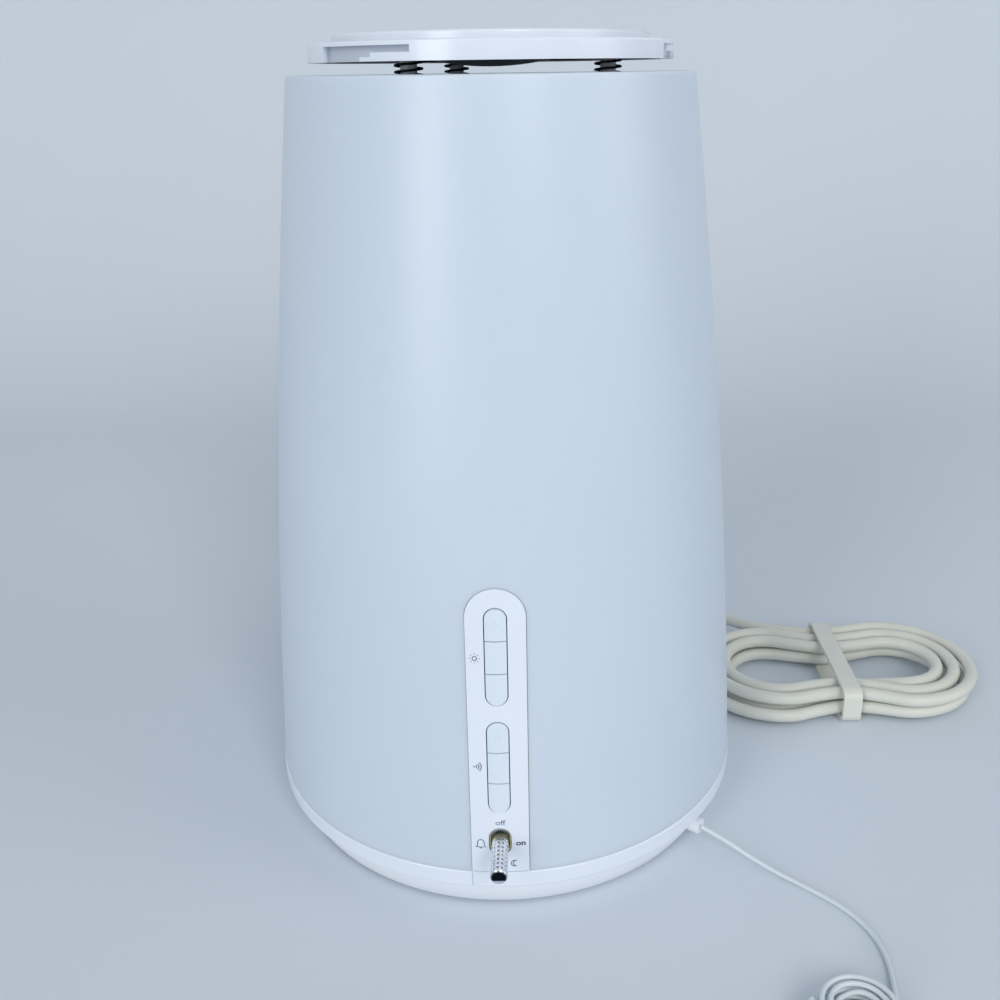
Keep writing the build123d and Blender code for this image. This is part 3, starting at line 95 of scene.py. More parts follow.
# %% Helpers for materials
def linear(code):
    """Linear colour, with alpha, from an sRGB hex value."""
    parts = [int(code[i:i + 2], 16) / 255 for i in (1, 3, 5)]
    return [p / 12.92 if p <= 0.04045 else ((p + 0.055) / 1.055) ** 2.4 for p in parts] + [1]


def node(tree, kind, settings=None, links=None):
    """Add a node, set its sockets and settings, and link sources to its sockets."""
    made = tree.nodes.new(kind)
    for name, value in (settings or {}).items():
        if isinstance(name, int) or name in made.inputs:
            made.inputs[name].default_value = value
        else:
            setattr(made, name, value)
    for name, source in (links or {}).items():
        tree.links.new(source, made.inputs[name])
    return made


def new_material(name, settings):
    """A material with one shader, whose even values are set on its own sockets."""
    material = bpy.data.materials.new(name)
    material.use_nodes = True
    tree = material.node_tree
    tree.nodes.clear()
    shader = node(tree, "ShaderNodeBsdfPrincipled", settings)
    node(tree, "ShaderNodeOutputMaterial", links={"Surface": shader.outputs[0]})
    return material, tree, shader


def dress(material, *names):
    """Give CAD nodes a material in place of their plain ones."""
    for name in names:
        nodes[name].data.materials.clear()
        nodes[name].data.materials.append(material)


# %% [markdown]
# ## The mains lead
# A flexible lead of about a metre and a half leaves the back through a tapered boot, lies in a
# loose bend on the table, and is wound into a hank beside the lamp, drawn in at its waist by a
# tie. It is one smooth curve: control points listed one by one where it lies loose, and a formula
# for the hank, whose loops spiral in on the table and out again on top. A curve keeps its exact
# length and stays round at every bend, which a mesh pulled by hand would not.

# %% Mains lead
CORD_RADIUS = 2.5 * MM
HANK_CENTER = (134.0, 52.0)
HANK_HALF_RUN = 25.6
HANK_FOLD_RADIUS = 15.0
HANK_WAIST_DRAW = 6.0
HANK_STEP = 6.6
HANK_LAYER_STEP = 5.6
HANK_FLOOR = 4.5
HANK_FIRST, HANK_TURN_BACK, HANK_LAST = 4.5, 18.5, 33
HALF_LOOP = 3
CLIMB_LEAD = 0.5
FOLD_POINTS, RUN_POINTS = 5, 2
BEVEL_STEPS, CURVE_STEPS = 4, 6
CORD_ROUTE = [
    (0, 96.2, 7.2), (1.2, 109, 6.6), (8, 122, 4.4), (20.5, 131, 2.9), (37, 132.5, 2.6),
    (53, 126, 2.6), (66, 113.5, 2.6), (74.5, 98, 2.8), (78.8, 81.5, 3.4), (79.6, 66, 4.0),
]
PLUG_ROUTE = [
    (119.5, 78.8, 9.9), (105.5, 85.5, 9.4), (94.5, 95.5, 8.2), (87, 108.5, 6.2), (82, 122.5, 4.2),
    (76.5, 137, 3.0), (66, 148.5, 4.2), (52, 155.5, 6.5), (38, 158, 6.5),
]


def ease(share):
    """A share from 0 to 1 that starts and ends gently."""
    return share * share * (3 - 2 * share)


def hank_point(step):
    """A control point of the hank, six steps a loop, from the front waist round the right fold.

    Each half of a loop is a run of one step, a fold of one step and a run back of one step.
    """
    loops = abs(step - HANK_TURN_BACK) / (2 * HALF_LOOP)
    fold = HANK_FOLD_RADIUS + HANK_STEP * loops
    waist = fold - HANK_WAIST_DRAW
    part = step % (2 * HALF_LOOP)
    side = 1 if part < HALF_LOOP else -1
    along = part % HALF_LOOP
    left = HALF_LOOP - along
    if along < 1:
        x, y = HANK_HALF_RUN * along, -(waist + (fold - waist) * ease(along))
    elif left >= 1:
        angle = pi * (along - 1) - pi / 2
        bulge = fold / cos(pi / (2 * FOLD_POINTS))
        x, y = HANK_HALF_RUN + bulge * cos(angle), bulge * sin(angle)
    else:
        x, y = HANK_HALF_RUN * left, waist + (fold - waist) * ease(left)
    climb = min(1, max(0, step - HANK_TURN_BACK + CLIMB_LEAD))
    height = HANK_FLOOR + HANK_LAYER_STEP * climb
    return (HANK_CENTER[0] + side * x, HANK_CENTER[1] + side * y, height)


def hank_steps():
    """Where the control points sit: close on the folds, at the middle and waist of the runs."""
    steps = []
    for step in range(int(HANK_FIRST), HANK_LAST):
        count = FOLD_POINTS if step % HALF_LOOP == 1 else RUN_POINTS
        steps += [step + i / count for i in range(count)]
    return [step for step in steps if step >= HANK_FIRST] + [HANK_LAST]


def cord_curve(name, points_mm, radius):
    """One open NURBS spline on the given control points, with a round bevel.

    The bevel is 1 deep and each point carries the cord's radius, because Blender adds a point's
    radius, and not the bevel, to the curve's box.
    """
    data = bpy.data.curves.new(name, "CURVE")
    data.dimensions = "3D"
    data.bevel_depth = 1
    data.bevel_resolution = BEVEL_STEPS
    data.resolution_u = CURVE_STEPS
    data.use_fill_caps = True
    spline = data.splines.new("NURBS")
    spline.points.add(len(points_mm) - 1)
    for point, (x, y, z) in zip(spline.points, points_mm):
        point.co = (x * MM, y * MM, z * MM, 1)
        point.radius = radius
    spline.order_u = 3
    spline.use_endpoint_u = True
    piece = bpy.data.objects.new(name, data)
    scene.collection.objects.link(piece)
    return piece


lead_points = CORD_ROUTE + [hank_point(step) for step in hank_steps()] + PLUG_ROUTE
mains_lead = cord_curve("mains_lead", lead_points, CORD_RADIUS)
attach(mains_lead, "base")
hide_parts("mains_cord_run", "mains_cord_hank", "mains_cord_end")
print("mains lead:", len(lead_points), "control points")

# %% [markdown]
# ## The aerial wire
# A thin wire, about a quarter of a radio wave long, leaves the base at the side. It lies out on
# the table, and its far part is kept in a small coil of a few layers. The turns are made by the
# same kind of formula, with enough control points on each turn to stay round.

# %% Aerial wire
AERIAL_RADIUS = 0.75 * MM
AERIAL_ANGLE = radians(55.0)
AERIAL_EXIT_RADIUS = 79.5
AERIAL_EXIT_HEIGHT = 6.5
COIL_CENTER = (96.0, -120.0)
COIL_INNER_RADIUS = 5.4
COIL_START = radians(-12.0)
COIL_STEP = 2.3
COIL_LAYER_STEP = 2.3
COIL_TURNS, COIL_LAYERS = 3, 4
COIL_POINTS = 12
COIL_CLIMB = 1 / 4
COIL_FLOOR_GAP = 0.1
AERIAL_ROUTE = [
    (72, -50.3, 5.2), (79.5, -55.8, 2.6), (88, -62.2, 1.0), (97, -69.5, 0.85), (105.5, -78, 0.85),
    (110.6, -88, 0.85), (111.6, -98.8, 0.85), (109.6, -109.8, 0.85),
]


def coil_point(count):
    """A control point of the coil, which spirals in and out again, layer on layer.

    The wire climbs from one layer to the next in the last part of a turn and the first part of
    the turn after it.
    """
    turns = count / COIL_POINTS + COIL_CLIMB
    layer = int(turns // COIL_TURNS)
    into = turns - layer * COIL_TURNS
    left = COIL_TURNS - into
    loops = left if layer % 2 == 0 else into
    rise = layer
    if into < COIL_CLIMB and layer > 0:
        rise += into - COIL_CLIMB
    if left < COIL_CLIMB and layer < COIL_LAYERS - 1:
        rise += COIL_CLIMB - left
    radius = (COIL_INNER_RADIUS + COIL_STEP * loops) / cos(pi / COIL_POINTS)
    angle = COIL_START - 2 * pi * count / COIL_POINTS
    height = AERIAL_RADIUS / MM + COIL_FLOOR_GAP + rise * COIL_LAYER_STEP
    return (COIL_CENTER[0] + radius * cos(angle), COIL_CENTER[1] + radius * sin(angle), height)


aerial_exit = (
    AERIAL_EXIT_RADIUS * sin(AERIAL_ANGLE), -AERIAL_EXIT_RADIUS * cos(AERIAL_ANGLE),
    AERIAL_EXIT_HEIGHT,
)
coil_count = int((COIL_TURNS * COIL_LAYERS - 2 * COIL_CLIMB) * COIL_POINTS) + 1
aerial_points = [aerial_exit, *AERIAL_ROUTE, *[coil_point(count) for count in range(coil_count)]]
aerial_wire = cord_curve("aerial_wire", aerial_points, AERIAL_RADIUS)
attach(aerial_wire, "base")
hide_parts("aerial_run", "aerial_coil")
print("aerial wire:", len(aerial_points), "control points")

# %% [markdown]
# ## Moulded plastics
# Most outer pieces are injection-moulded. The shade is opal polycarbonate, blasted in its mould
# to a satin skin that spreads light. The strip, ring and lid are polished ABS, the base and the
# inner pieces plainer ABS. What tells them apart is how sharply they mirror a window, so each
# gets its own roughness, a slow drift of colour and a grain in shallow relief.

# %% Moulded plastics
DRIFT_DETAIL, GRAIN_DETAIL = 2.0, 3.0
GRAIN_STRENGTH = 0.5


def moulded(name, sockets, low, high, blotch_mm, grain_mm, relief_mm):
    """A moulded plastic: a slow drift between two near colours, and a fine grain in relief."""
    material, tree, shader = new_material(name, sockets)
    spot = node(tree, "ShaderNodeTexCoord").outputs["Object"]
    drift = node(
        tree, "ShaderNodeTexNoise", {"Scale": 1 / (blotch_mm * MM), "Detail": DRIFT_DETAIL},
        {"Vector": spot},
    )
    tint = node(
        tree, "ShaderNodeMix", {"data_type": "RGBA", 6: linear(low), 7: linear(high)},
        {0: drift.outputs["Fac"]},
    )
    grain = node(
        tree, "ShaderNodeTexNoise", {"Scale": 1 / (grain_mm * MM), "Detail": GRAIN_DETAIL},
        {"Vector": spot},
    )
    relief = node(
        tree, "ShaderNodeBump", {"Strength": GRAIN_STRENGTH, "Distance": relief_mm * MM},
        {"Height": grain.outputs["Fac"]},
    )
    tree.links.new(tint.outputs[2], shader.inputs["Base Color"])
    tree.links.new(relief.outputs["Normal"], shader.inputs["Normal"])
    return material


SOCKETS_OPAL = {
    "Roughness": 0.36, "IOR": 1.58, "Subsurface Weight": 0.35,
    "Subsurface Radius": (1.0, 1.0, 1.15), "Subsurface Scale": 4 * MM,
}
SOCKETS_GLOSS = {"Roughness": 0.2, "IOR": 1.53}
SOCKETS_SATIN = {"Roughness": 0.38, "IOR": 1.53}
SOCKETS_MATT = {"Roughness": 0.55, "IOR": 1.53}
SOCKETS_RUBBER = {"Roughness": 0.75, "IOR": 1.52}
SOCKETS_VINYL = {"Roughness": 0.42, "IOR": 1.54}
# Opal skin: wide, soft highlights, and a little light that goes in and comes out beside
opal_shade = moulded(
    "opal polycarbonate, blasted", SOCKETS_OPAL, "#CBD8E9", "#D0DDEB",
    blotch_mm=70, grain_mm=0.5, relief_mm=0.01,
)
# Polished: the brightest white, with a clear mirror of the windows
polished_abs = moulded(
    "white ABS, polished", SOCKETS_GLOSS, "#E2EBF8", "#E7EFFA",
    blotch_mm=40, grain_mm=4, relief_mm=0.004,
)
# Satin: keys whose mirror is blurred, so that they stand out from the strip
satin_abs = moulded(
    "white ABS, satin", SOCKETS_SATIN, "#DAE7F4", "#DFEAF5",
    blotch_mm=30, grain_mm=0.6, relief_mm=0.01,
)
# Eroded: a matt white with a visible grain, for what is near the table
base_abs = moulded(
    "white ABS, eroded mould", SOCKETS_MATT, "#E8EEF6", "#EDF2F8",
    blotch_mm=50, grain_mm=0.7, relief_mm=0.03,
)
# Inner plastics: plain grey and black, left as they come from the mould
inner_abs = moulded(
    "grey ABS, as moulded", SOCKETS_MATT, "#B9BDC4", "#C1C5CB",
    blotch_mm=40, grain_mm=1.2, relief_mm=0.02,
)
black_abs = moulded(
    "black ABS, as moulded", SOCKETS_MATT, "#141416", "#1C1C1F",
    blotch_mm=20, grain_mm=0.8, relief_mm=0.02,
)
# Green lacquer over copper: blotches as wide as tracks
circuit_board = moulded(
    "circuit board, green lacquer", SOCKETS_SATIN, "#0F3B22", "#1B5230",
    blotch_mm=3, grain_mm=1.5, relief_mm=0.02,
)
# Fibrous black paper, soft grey rubber, and cream or white vinyl with a faint oily shine
paper_cone = moulded(
    "speaker paper, pressed", SOCKETS_MATT, "#1A1A1B", "#252526",
    blotch_mm=6, grain_mm=0.9, relief_mm=0.05,
)
foot_rubber = moulded(
    "grey rubber, moulded", SOCKETS_RUBBER, "#9A9CA0", "#A5A7AA",
    blotch_mm=8, grain_mm=0.6, relief_mm=0.03,
)
cream_vinyl = moulded(
    "cream vinyl, extruded", SOCKETS_VINYL, "#D3D5CC", "#E0E1D8",
    blotch_mm=12, grain_mm=1.6, relief_mm=0.03,
)
white_vinyl = moulded(
    "white vinyl, extruded", SOCKETS_VINYL, "#D6E0E6", "#DDE6EA",
    blotch_mm=12, grain_mm=1.6, relief_mm=0.02,
)
dress(opal_shade, "shade")
dress(polished_abs, "base_ring", "control_panel", "lid_disc")
dress(satin_abs, "light_up_key", "light_key", "light_down_key")
dress(satin_abs, "volume_up_key", "radio_key", "volume_down_key")
dress(satin_abs, "lever_dome", "spring_posts")
dress(base_abs, "base_tub", "bottom_cover", "glide_ring", "lamp_holder", "lid_collar")
dress(base_abs, "aerial_grommet")
dress(inner_abs, "panel_stand", "inner_housing")
dress(black_abs, "tact_switches", "display_module", "gimbal_ring", "transformer")
dress(circuit_board, "key_board", "lever_board", "main_board")
dress(paper_cone, "speaker_cone")
dress(foot_rubber, "rubber_feet")
dress(cream_vinyl, "strain_relief", "plug_body", "cord_tie")
mains_lead.data.materials.append(cream_vinyl)
aerial_wire.data.materials.append(white_vinyl)
print("plastics:", opal_shade.name, "and", polished_abs.name)

# %% [markdown]
# ## Painted shade in the lid's rim slots
# The rim has three bayonet slots, which the lugs of the collar slide into. Their backs are painted
# greyer than the polished face, as painted shade for the depth of the slots. The back lies nearer
# to the lamp's axis, so the distance from that axis can choose between the two tones.

# %% Lid rim
SLOT_BACK = 51.6 * MM
# The slots' grey is painted shade: it stands for the shade deep in the slots
SLOT_PAINTED_SHADE = "#C6D0DD"
# The strip's polished white on its face, and a grey painted in its slots as shade
rim_abs = polished_abs.copy()
rim_abs.name = "white ABS, polished, painted shade in slots"
rim_tree = rim_abs.node_tree
rim_shader = rim_tree.nodes["Principled BSDF"]
rim_tint = rim_shader.inputs["Base Color"].links[0].from_socket
rim_spot = node(rim_tree, "ShaderNodeTexCoord").outputs["Object"]
flat = node(
    rim_tree, "ShaderNodeVectorMath", {"operation": "MULTIPLY", 1: (1, 1, 0)}, {0: rim_spot}
)
away = node(rim_tree, "ShaderNodeVectorMath", {"operation": "LENGTH"}, {0: flat.outputs[0]})
# Painted shade: a point nearer the axis than the slots' backs is painted grey
back = node(
    rim_tree, "ShaderNodeMath", {"operation": "LESS_THAN", 1: SLOT_BACK},
    {0: away.outputs["Value"]},
)
painted_slot_shade = node(
    rim_tree, "ShaderNodeMix", {"data_type": "RGBA", 7: linear(SLOT_PAINTED_SHADE)},
    {0: back.outputs[0], 6: rim_tint},
)
rim_tree.links.new(painted_slot_shade.outputs[2], rim_shader.inputs["Base Color"])
dress(rim_abs, "lid_rim")
print("rim:", rim_abs.name)

# %% [markdown]
# ## Metals and glass
# Turned, drawn and plated metals differ mostly in colour and in the fine lines that tools leave.
# Noise stretched along one axis draws such lines.

# %% Metals and glass
TOOL_DETAIL, TOOL_STRENGTH, TOOL_RELIEF = 4.0, 0.3, 0.02 * MM
NO_STRETCH = (1, 1, 1)
FROST_GRAIN = 1.5 * MM


def worked_metal(name, low, high, roughness, line_mm, stretch, bare=1.0):
    """A metal with fine tool lines: noise that is stretched along one axis.

    What is not bare is a dull film on the metal, which scatters light instead of mirroring it.
    """
    material, tree, shader = new_material(name, {"Metallic": bare, "Roughness": roughness})
    spot = node(tree, "ShaderNodeTexCoord").outputs["Object"]
    lines = node(tree, "ShaderNodeMapping", {"Scale": stretch}, {"Vector": spot})
    drawn = node(
        tree, "ShaderNodeTexNoise", {"Scale": 1 / (line_mm * MM), "Detail": TOOL_DETAIL},
        {"Vector": lines.outputs["Vector"]},
    )
    tint = node(
        tree, "ShaderNodeMix", {"data_type": "RGBA", 6: linear(low), 7: linear(high)},
        {0: drawn.outputs["Fac"]},
    )
    relief = node(
        tree, "ShaderNodeBump", {"Strength": TOOL_STRENGTH, "Distance": TOOL_RELIEF},
        {"Height": drawn.outputs["Fac"]},
    )
    tree.links.new(tint.outputs[2], shader.inputs["Base Color"])
    tree.links.new(relief.outputs["Normal"], shader.inputs["Normal"])
    return material


# Steel: bright where it is plated, nearly black where it is oiled, grey-green where it is heated;
# the press ring gets the oiled near-black as painted shade under the lid
bright_steel = worked_metal(
    "zinc-plated steel", "#9A9DA1", "#B4B7BA", roughness=0.34, line_mm=0.4, stretch=(1, 1, 0.15)
)
dark_steel = worked_metal(
    "spring steel, oiled, and painted shade on the press ring", "#232426", "#333437", roughness=0.38, line_mm=0.3, stretch=NO_STRETCH
)
dark_sheet = worked_metal(
    "steel sheet, darkened", "#8A8D88", "#9DA09B", roughness=0.5, line_mm=1.5, stretch=NO_STRETCH
)
# Brass gives the one warm tone, aluminium a pale one, and ferrite a dull dark one
turned_brass = worked_metal(
    "brass, turned and worn", "#BDB687", "#D6D1A9",
    roughness=0.42, line_mm=0.3, stretch=(1, 1, 0.2), bare=0.45,
)
drawn_aluminium = worked_metal(
    "aluminium, drawn", "#B5B7BA", "#CBCDD0", roughness=0.32, line_mm=0.5, stretch=(1, 1, 0.1)
)
sintered_iron = worked_metal(
    "ferrite, sintered", "#2A2B2D", "#38393B", roughness=0.6, line_mm=0.8, stretch=NO_STRETCH
)
dress(
    bright_steel, "bottom_screws", "key_board_screws", "stand_screws", "lever_pins", "gimbal_pins",
    "lever_bracket", "housing_screws", "speaker_frame", "lid_screws",
)
dress(dark_sheet, "lid_shield")
# Painted shade: the press ring's near-black stands for the shade under the lid's rim
dress(dark_steel, "press_ring")
dress(turned_brass, "lever_bushing", "board_pillars", "plug_pins")
dress(drawn_aluminium, "bulb_cap", "capacitors", "heat_sink")
dress(sintered_iron, "speaker_magnet")

# Frosted glass: milky, with no clear view of what is behind it
frosted_glass, glass_tree, glass_shader = new_material(
    "bulb glass, frosted inside", {"Transmission Weight": 0.9, "Roughness": 0.45, "IOR": 1.5}
)
glass_spot = node(glass_tree, "ShaderNodeTexCoord").outputs["Object"]
frost = node(glass_tree, "ShaderNodeTexNoise", {"Scale": 1 / FROST_GRAIN}, {"Vector": glass_spot})
frost_tint = node(
    glass_tree, "ShaderNodeMix", {"data_type": "RGBA", 6: linear("#EEF0F2"), 7: linear("#FAFAFA")},
    {0: frost.outputs["Fac"]},
)
glass_tree.links.new(frost_tint.outputs[2], glass_shader.inputs["Base Color"])
dress(frosted_glass, "bulb_glass")
print("metals:", turned_brass.name, "and", bright_steel.name)

# %% [markdown]
# ## Smooth springs
# Three coil springs hold the lid up. A copy of their solids takes their place, and its
# triangles are merged, so that it shades as one smooth wire.

# %% Springs
MERGE_WITHIN = 0.001 * MM


def only(piece):
    """Select one object alone and make it the active one."""
    bpy.ops.object.select_all(action="DESELECT")
    piece.select_set(True)
    bpy.context.view_layer.objects.active = piece


def settle(piece, name, body, material):
    """Name a finished piece, give it its material, and let it ride on a body."""
    piece.name = name
    piece.data.name = name
    piece.data.materials.clear()
    piece.data.materials.append(material)
    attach(piece, body)
    return piece


def unite(piece, other):
    """Merge another solid into a piece, so that no walls are left inside it."""
    only(piece)
    union = piece.modifiers.new("union", "BOOLEAN")
    union.operation = "UNION"
    union.solver = "EXACT"
    union.object = other
    bpy.ops.object.modifier_apply(modifier=union.name)
    bpy.data.objects.remove(other)


springs = bpy.data.objects.new("soft_springs", nodes["lid_springs"].data.copy())
scene.collection.objects.link(springs)
only(springs)
bpy.ops.object.mode_set(mode="EDIT")
bpy.ops.mesh.select_all(action="SELECT")
bpy.ops.mesh.remove_doubles(threshold=MERGE_WITHIN)
bpy.ops.mesh.normals_make_consistent(inside=False)
bpy.ops.object.mode_set(mode="OBJECT")
bpy.ops.object.shade_smooth()
settle(springs, "soft_springs", "base", dark_steel)
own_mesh(springs)
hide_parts("lid_springs")
dress(dark_steel, "lid_springs")
print("springs:", len(springs.data.vertices), "points")

# %% [markdown]
# ## The chrome stick
# The stick is chromed steel, rolled between dies that press rows of small dents into it for
# grip. A disc is extruded forwards row by row, with a narrow step between two dents and a wider
# one for the dents. Then every second face of the wide rows is inset and pushed in, and the hub
# that the stick turns on is merged in. Dents made as shapes catch the light as the stick turns,
# which a picture of dents would not.

# %% Chrome stick
STICK_RADIUS = 2.5 * MM
STICK_HEIGHT = 28.9 * MM
STICK_BACK, STICK_FRONT = -67.2 * MM, -94.6 * MM
STICK_CHAMFER = 0.5 * MM
GRIP_BACK = -80.4 * MM
DENT_COLUMNS, DENT_ROWS = 12, 8
DENT_LONG = 0.95 * MM
DENT_DEPTH = 0.28 * MM
DENT_SIDE = 0.1 * MM
# Below this share of the radius under the axis, the stick gets a painted reflection of the white
# below
LOW_REFLECTION_SHARE = 0.4
HUB_RADIUS, HUB_TALL = 3.4 * MM, 6.0 * MM
HUB_PLACE = (0, -71.7 * MM, STICK_HEIGHT)
HUB_SIDES = 32
SHARP_ANGLE = radians(30)
RIDGE_SHARE = 0.95
# Painted light on the chrome: the end's near-black and the low side's bright are painted
# reflections, the dents' grey is painted shade
END_PAINTED_REFLECTION, DENT_PAINTED_SHADE, RIDGE_BRIGHT, LOW_PAINTED_REFLECTION = "#161A21", "#A3A9B0", "#E6E8EB", "#DDE1E6"
ridge_long = (GRIP_BACK - STICK_FRONT - STICK_CHAMFER - DENT_ROWS * DENT_LONG) / DENT_ROWS
steps = [STICK_BACK - GRIP_BACK] + [DENT_LONG, ridge_long] * DENT_ROWS

bpy.ops.object.select_all(action="DESELECT")
bpy.ops.mesh.primitive_circle_add(
    vertices=2 * DENT_COLUMNS, radius=STICK_RADIUS, fill_type="NGON",
    location=(0, STICK_BACK, STICK_HEIGHT), rotation=(pi / 2, 0, 0),
)
stick = bpy.context.object
bpy.ops.object.transform_apply(location=True, rotation=True)
bpy.ops.object.mode_set(mode="EDIT")
bpy.ops.mesh.select_all(action="SELECT")
for step in steps:
    bpy.ops.mesh.extrude_region_move(TRANSFORM_OT_translate={"value": (0, -step, 0)})
bpy.ops.mesh.extrude_region_move(TRANSFORM_OT_translate={"value": (0, -STICK_CHAMFER, 0)})
end_share = 1 - STICK_CHAMFER / STICK_RADIUS
bpy.ops.transform.resize(value=(end_share, end_share, end_share))
bpy.ops.mesh.select_all(action="SELECT")
bpy.ops.mesh.normals_make_consistent(inside=False)
bpy.ops.mesh.select_mode(type="FACE")
bpy.ops.mesh.select_all(action="DESELECT")
bpy.ops.object.mode_set(mode="OBJECT")
for face in stick.data.polygons:
    row = (GRIP_BACK - face.center.y) / (DENT_LONG + ridge_long)
    turn = atan2(face.center.z - STICK_HEIGHT, face.center.x) / pi * DENT_COLUMNS
    in_row = 0 < row < DENT_ROWS and row % 1 < DENT_LONG / (DENT_LONG + ridge_long)
    face.select = len(face.vertices) == 4 and in_row and int(turn // 1) % 2 == 0
dent_count = sum(face.select for face in stick.data.polygons)
bpy.ops.object.mode_set(mode="EDIT")
bpy.ops.mesh.inset(thickness=DENT_SIDE, depth=-DENT_DEPTH, use_individual=True)
bpy.ops.object.mode_set(mode="OBJECT")
bpy.ops.mesh.primitive_cylinder_add(
    vertices=HUB_SIDES, radius=HUB_RADIUS, depth=HUB_TALL, location=HUB_PLACE
)
unite(stick, bpy.context.object)
bpy.ops.object.shade_smooth_by_angle(angle=SHARP_ANGLE)

# Chrome with painted light, told apart by how far from the stick's axis they lie: bright ridges,
# dents painted greyer as shade, and a cut end painted nearly black as a reflection of dark
# surroundings. Its low side, with the end's lower edge, is painted bright as a reflection of the
# white below
chrome, chrome_tree, chrome_shader = new_material(
    "chrome plate, rolled grip, painted reflections and shade", {"Metallic": 1.0, "Roughness": 0.26}
)
stick_spot = node(chrome_tree, "ShaderNodeTexCoord").outputs["Object"]
from_axis = node(
    chrome_tree, "ShaderNodeVectorMath", {"operation": "SUBTRACT", 1: (0, 0, STICK_HEIGHT)},
    {0: stick_spot},
)
cross = node(
    chrome_tree, "ShaderNodeVectorMath", {"operation": "MULTIPLY", 1: (1, 0, 1)},
    {0: from_axis.outputs[0]},
)
depth = node(chrome_tree, "ShaderNodeVectorMath", {"operation": "LENGTH"}, {0: cross.outputs[0]})
share = node(
    chrome_tree, "ShaderNodeMath", {"operation": "DIVIDE", 1: STICK_RADIUS},
    {0: depth.outputs["Value"]},
)
plate = node(chrome_tree, "ShaderNodeValToRGB", links={0: share.outputs[0]})
plate.color_ramp.elements[0].position = end_share
plate.color_ramp.elements[0].color = linear(END_PAINTED_REFLECTION)
plate.color_ramp.elements[1].position = RIDGE_SHARE
plate.color_ramp.elements[1].color = linear(RIDGE_BRIGHT)
middle = plate.color_ramp.elements.new(1 - DENT_DEPTH / STICK_RADIUS)
middle.color = linear(DENT_PAINTED_SHADE)
heights = node(chrome_tree, "ShaderNodeSeparateXYZ", links={0: from_axis.outputs[0]})
# Painted reflection: the stick's low side is painted bright
low_reflection_mask = node(
    chrome_tree, "ShaderNodeMath", {"operation": "LESS_THAN", 1: -LOW_REFLECTION_SHARE * STICK_RADIUS},
    {0: heights.outputs["Z"]},
)
painted_chrome = node(
    chrome_tree, "ShaderNodeMix", {"data_type": "RGBA", 7: linear(LOW_PAINTED_REFLECTION)},
    {0: low_reflection_mask.outputs[0], 6: plate.outputs[0]},
)
chrome_tree.links.new(painted_chrome.outputs[2], chrome_shader.inputs["Base Color"])
settle(stick, "dented_stick", "lever", chrome)
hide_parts("lever")
dress(chrome, "lever")
print("stick:", dent_count, "dents")

# %% [markdown]
# ## Printed marks on the strip
# Small grey marks are pad-printed beside the keys and round the stick: a sun for the light, waves
# for the radio, a bell, a moon, and the words on and off. Each is drawn flat, turned into a thin
# mesh, and wrapped on the strip's curved front. Letters come from Blender's own font. A paler
# line across the strip, level with the top of the base ring, is painted shade for a seam that is
# not modelled, and is drawn in the same way.

# %% The strip's front, and the marks
RING_TOP, SHADE_TOP = 18.05 * MM, 240 * MM
BOTTOM_RADIUS, TOP_RADIUS, BULGE = 79.6 * MM, 59.1 * MM, 2.2 * MM
STRIP_PROUD = 0.4 * MM
INK_PROUD = 0.05 * MM
INK_WIDTH = 0.26
STROKE_STEPS, ARC_STEPS = 1, 14
WORD_WIDEN = 1.2
# Sizes and places of the marks on the strip, in millimetres, and angles in degrees
SUN_PLACE, SUN_RADIUS = (-6.0, 88.4), 0.62
RAY_COUNT, RAY_ENDS = 8, (1.25, 1.5)
WAVES_PLACE, WAVES_CENTRE = (-5.9, 54.2), (-1.1, 0)
WAVE_RADII, WAVE_ANGLE, WAVE_DOT = (0.75, 1.4, 2.05), 42, 0.1
BELL_PLACE, BELL_SIDE = (-5.75, 28.1), [(1.0, -0.45), (1.5, -1.0)]
BELL_CROWN, BELL_CROWN_CENTRE = 0.95, (0, 0.6)
CLAPPER_RADIUS, CLAPPER_ANGLES, CLAPPER_CENTRE, CLAPPER_STEPS = 0.36, (200, 340), (0, -1.05), 6
MOON_PLACE, MOON_BACK, MOON_BACK_ANGLES = (4.1, 21.4), 1.0, (60, 300)
MOON_BITE, MOON_BITE_ANGLES, MOON_BITE_CENTRE = 0.95, (265, 95), (0.62, 0)
ON_PLACE, ON_SIZE, ON_BOLDER = (6.1, 28.3), 2.35, 0.06
OFF_PLACE, OFF_SIZE = (0.1, 35.4), 2.3
SEAM_PLACE, SEAM_HALF, SEAM_STEPS = (0, 18.45), 8.2, 40


def ink(name, low, high):
    """Ink: thin and matt, in a cool grey on the bright strip."""
    return moulded(name, SOCKETS_MATT, low, high, blotch_mm=3, grain_mm=0.4, relief_mm=0.005)


print_ink = ink("pad-print ink, grey", "#5A6675", "#687483")
strong_ink = ink("pad-print ink, dark", "#333F4D", "#414D5B")
# The pale grey line is painted shade: it stands for the shade in an unmodelled seam
painted_seam_shade_ink = ink("painted seam shade, pale grey", "#BAC4D0", "#C2CBD6")


def shade_radius(height):
    """Outer radius of the shade at a height."""
    rise = (height - RING_TOP) / (SHADE_TOP - RING_TOP)
    return BOTTOM_RADIUS + (TOP_RADIUS - BOTTOM_RADIUS) * rise + 4 * BULGE * rise * (1 - rise)


def wrap_on_strip(piece, centre_mm):
    """Lay a flat mesh, drawn in its own X and Y, on the strip round a centre."""
    top = max(vertex.co.z for vertex in piece.data.vertices)
    for vertex in piece.data.vertices:
        x = vertex.co.x + centre_mm[0] * MM
        z = vertex.co.y + centre_mm[1] * MM
        proud = INK_PROUD if vertex.co.z > top / 2 else -INK_PROUD
        y = -sqrt((shade_radius(z) + STRIP_PROUD + proud) ** 2 - x * x)
        vertex.co = (x, y, z)


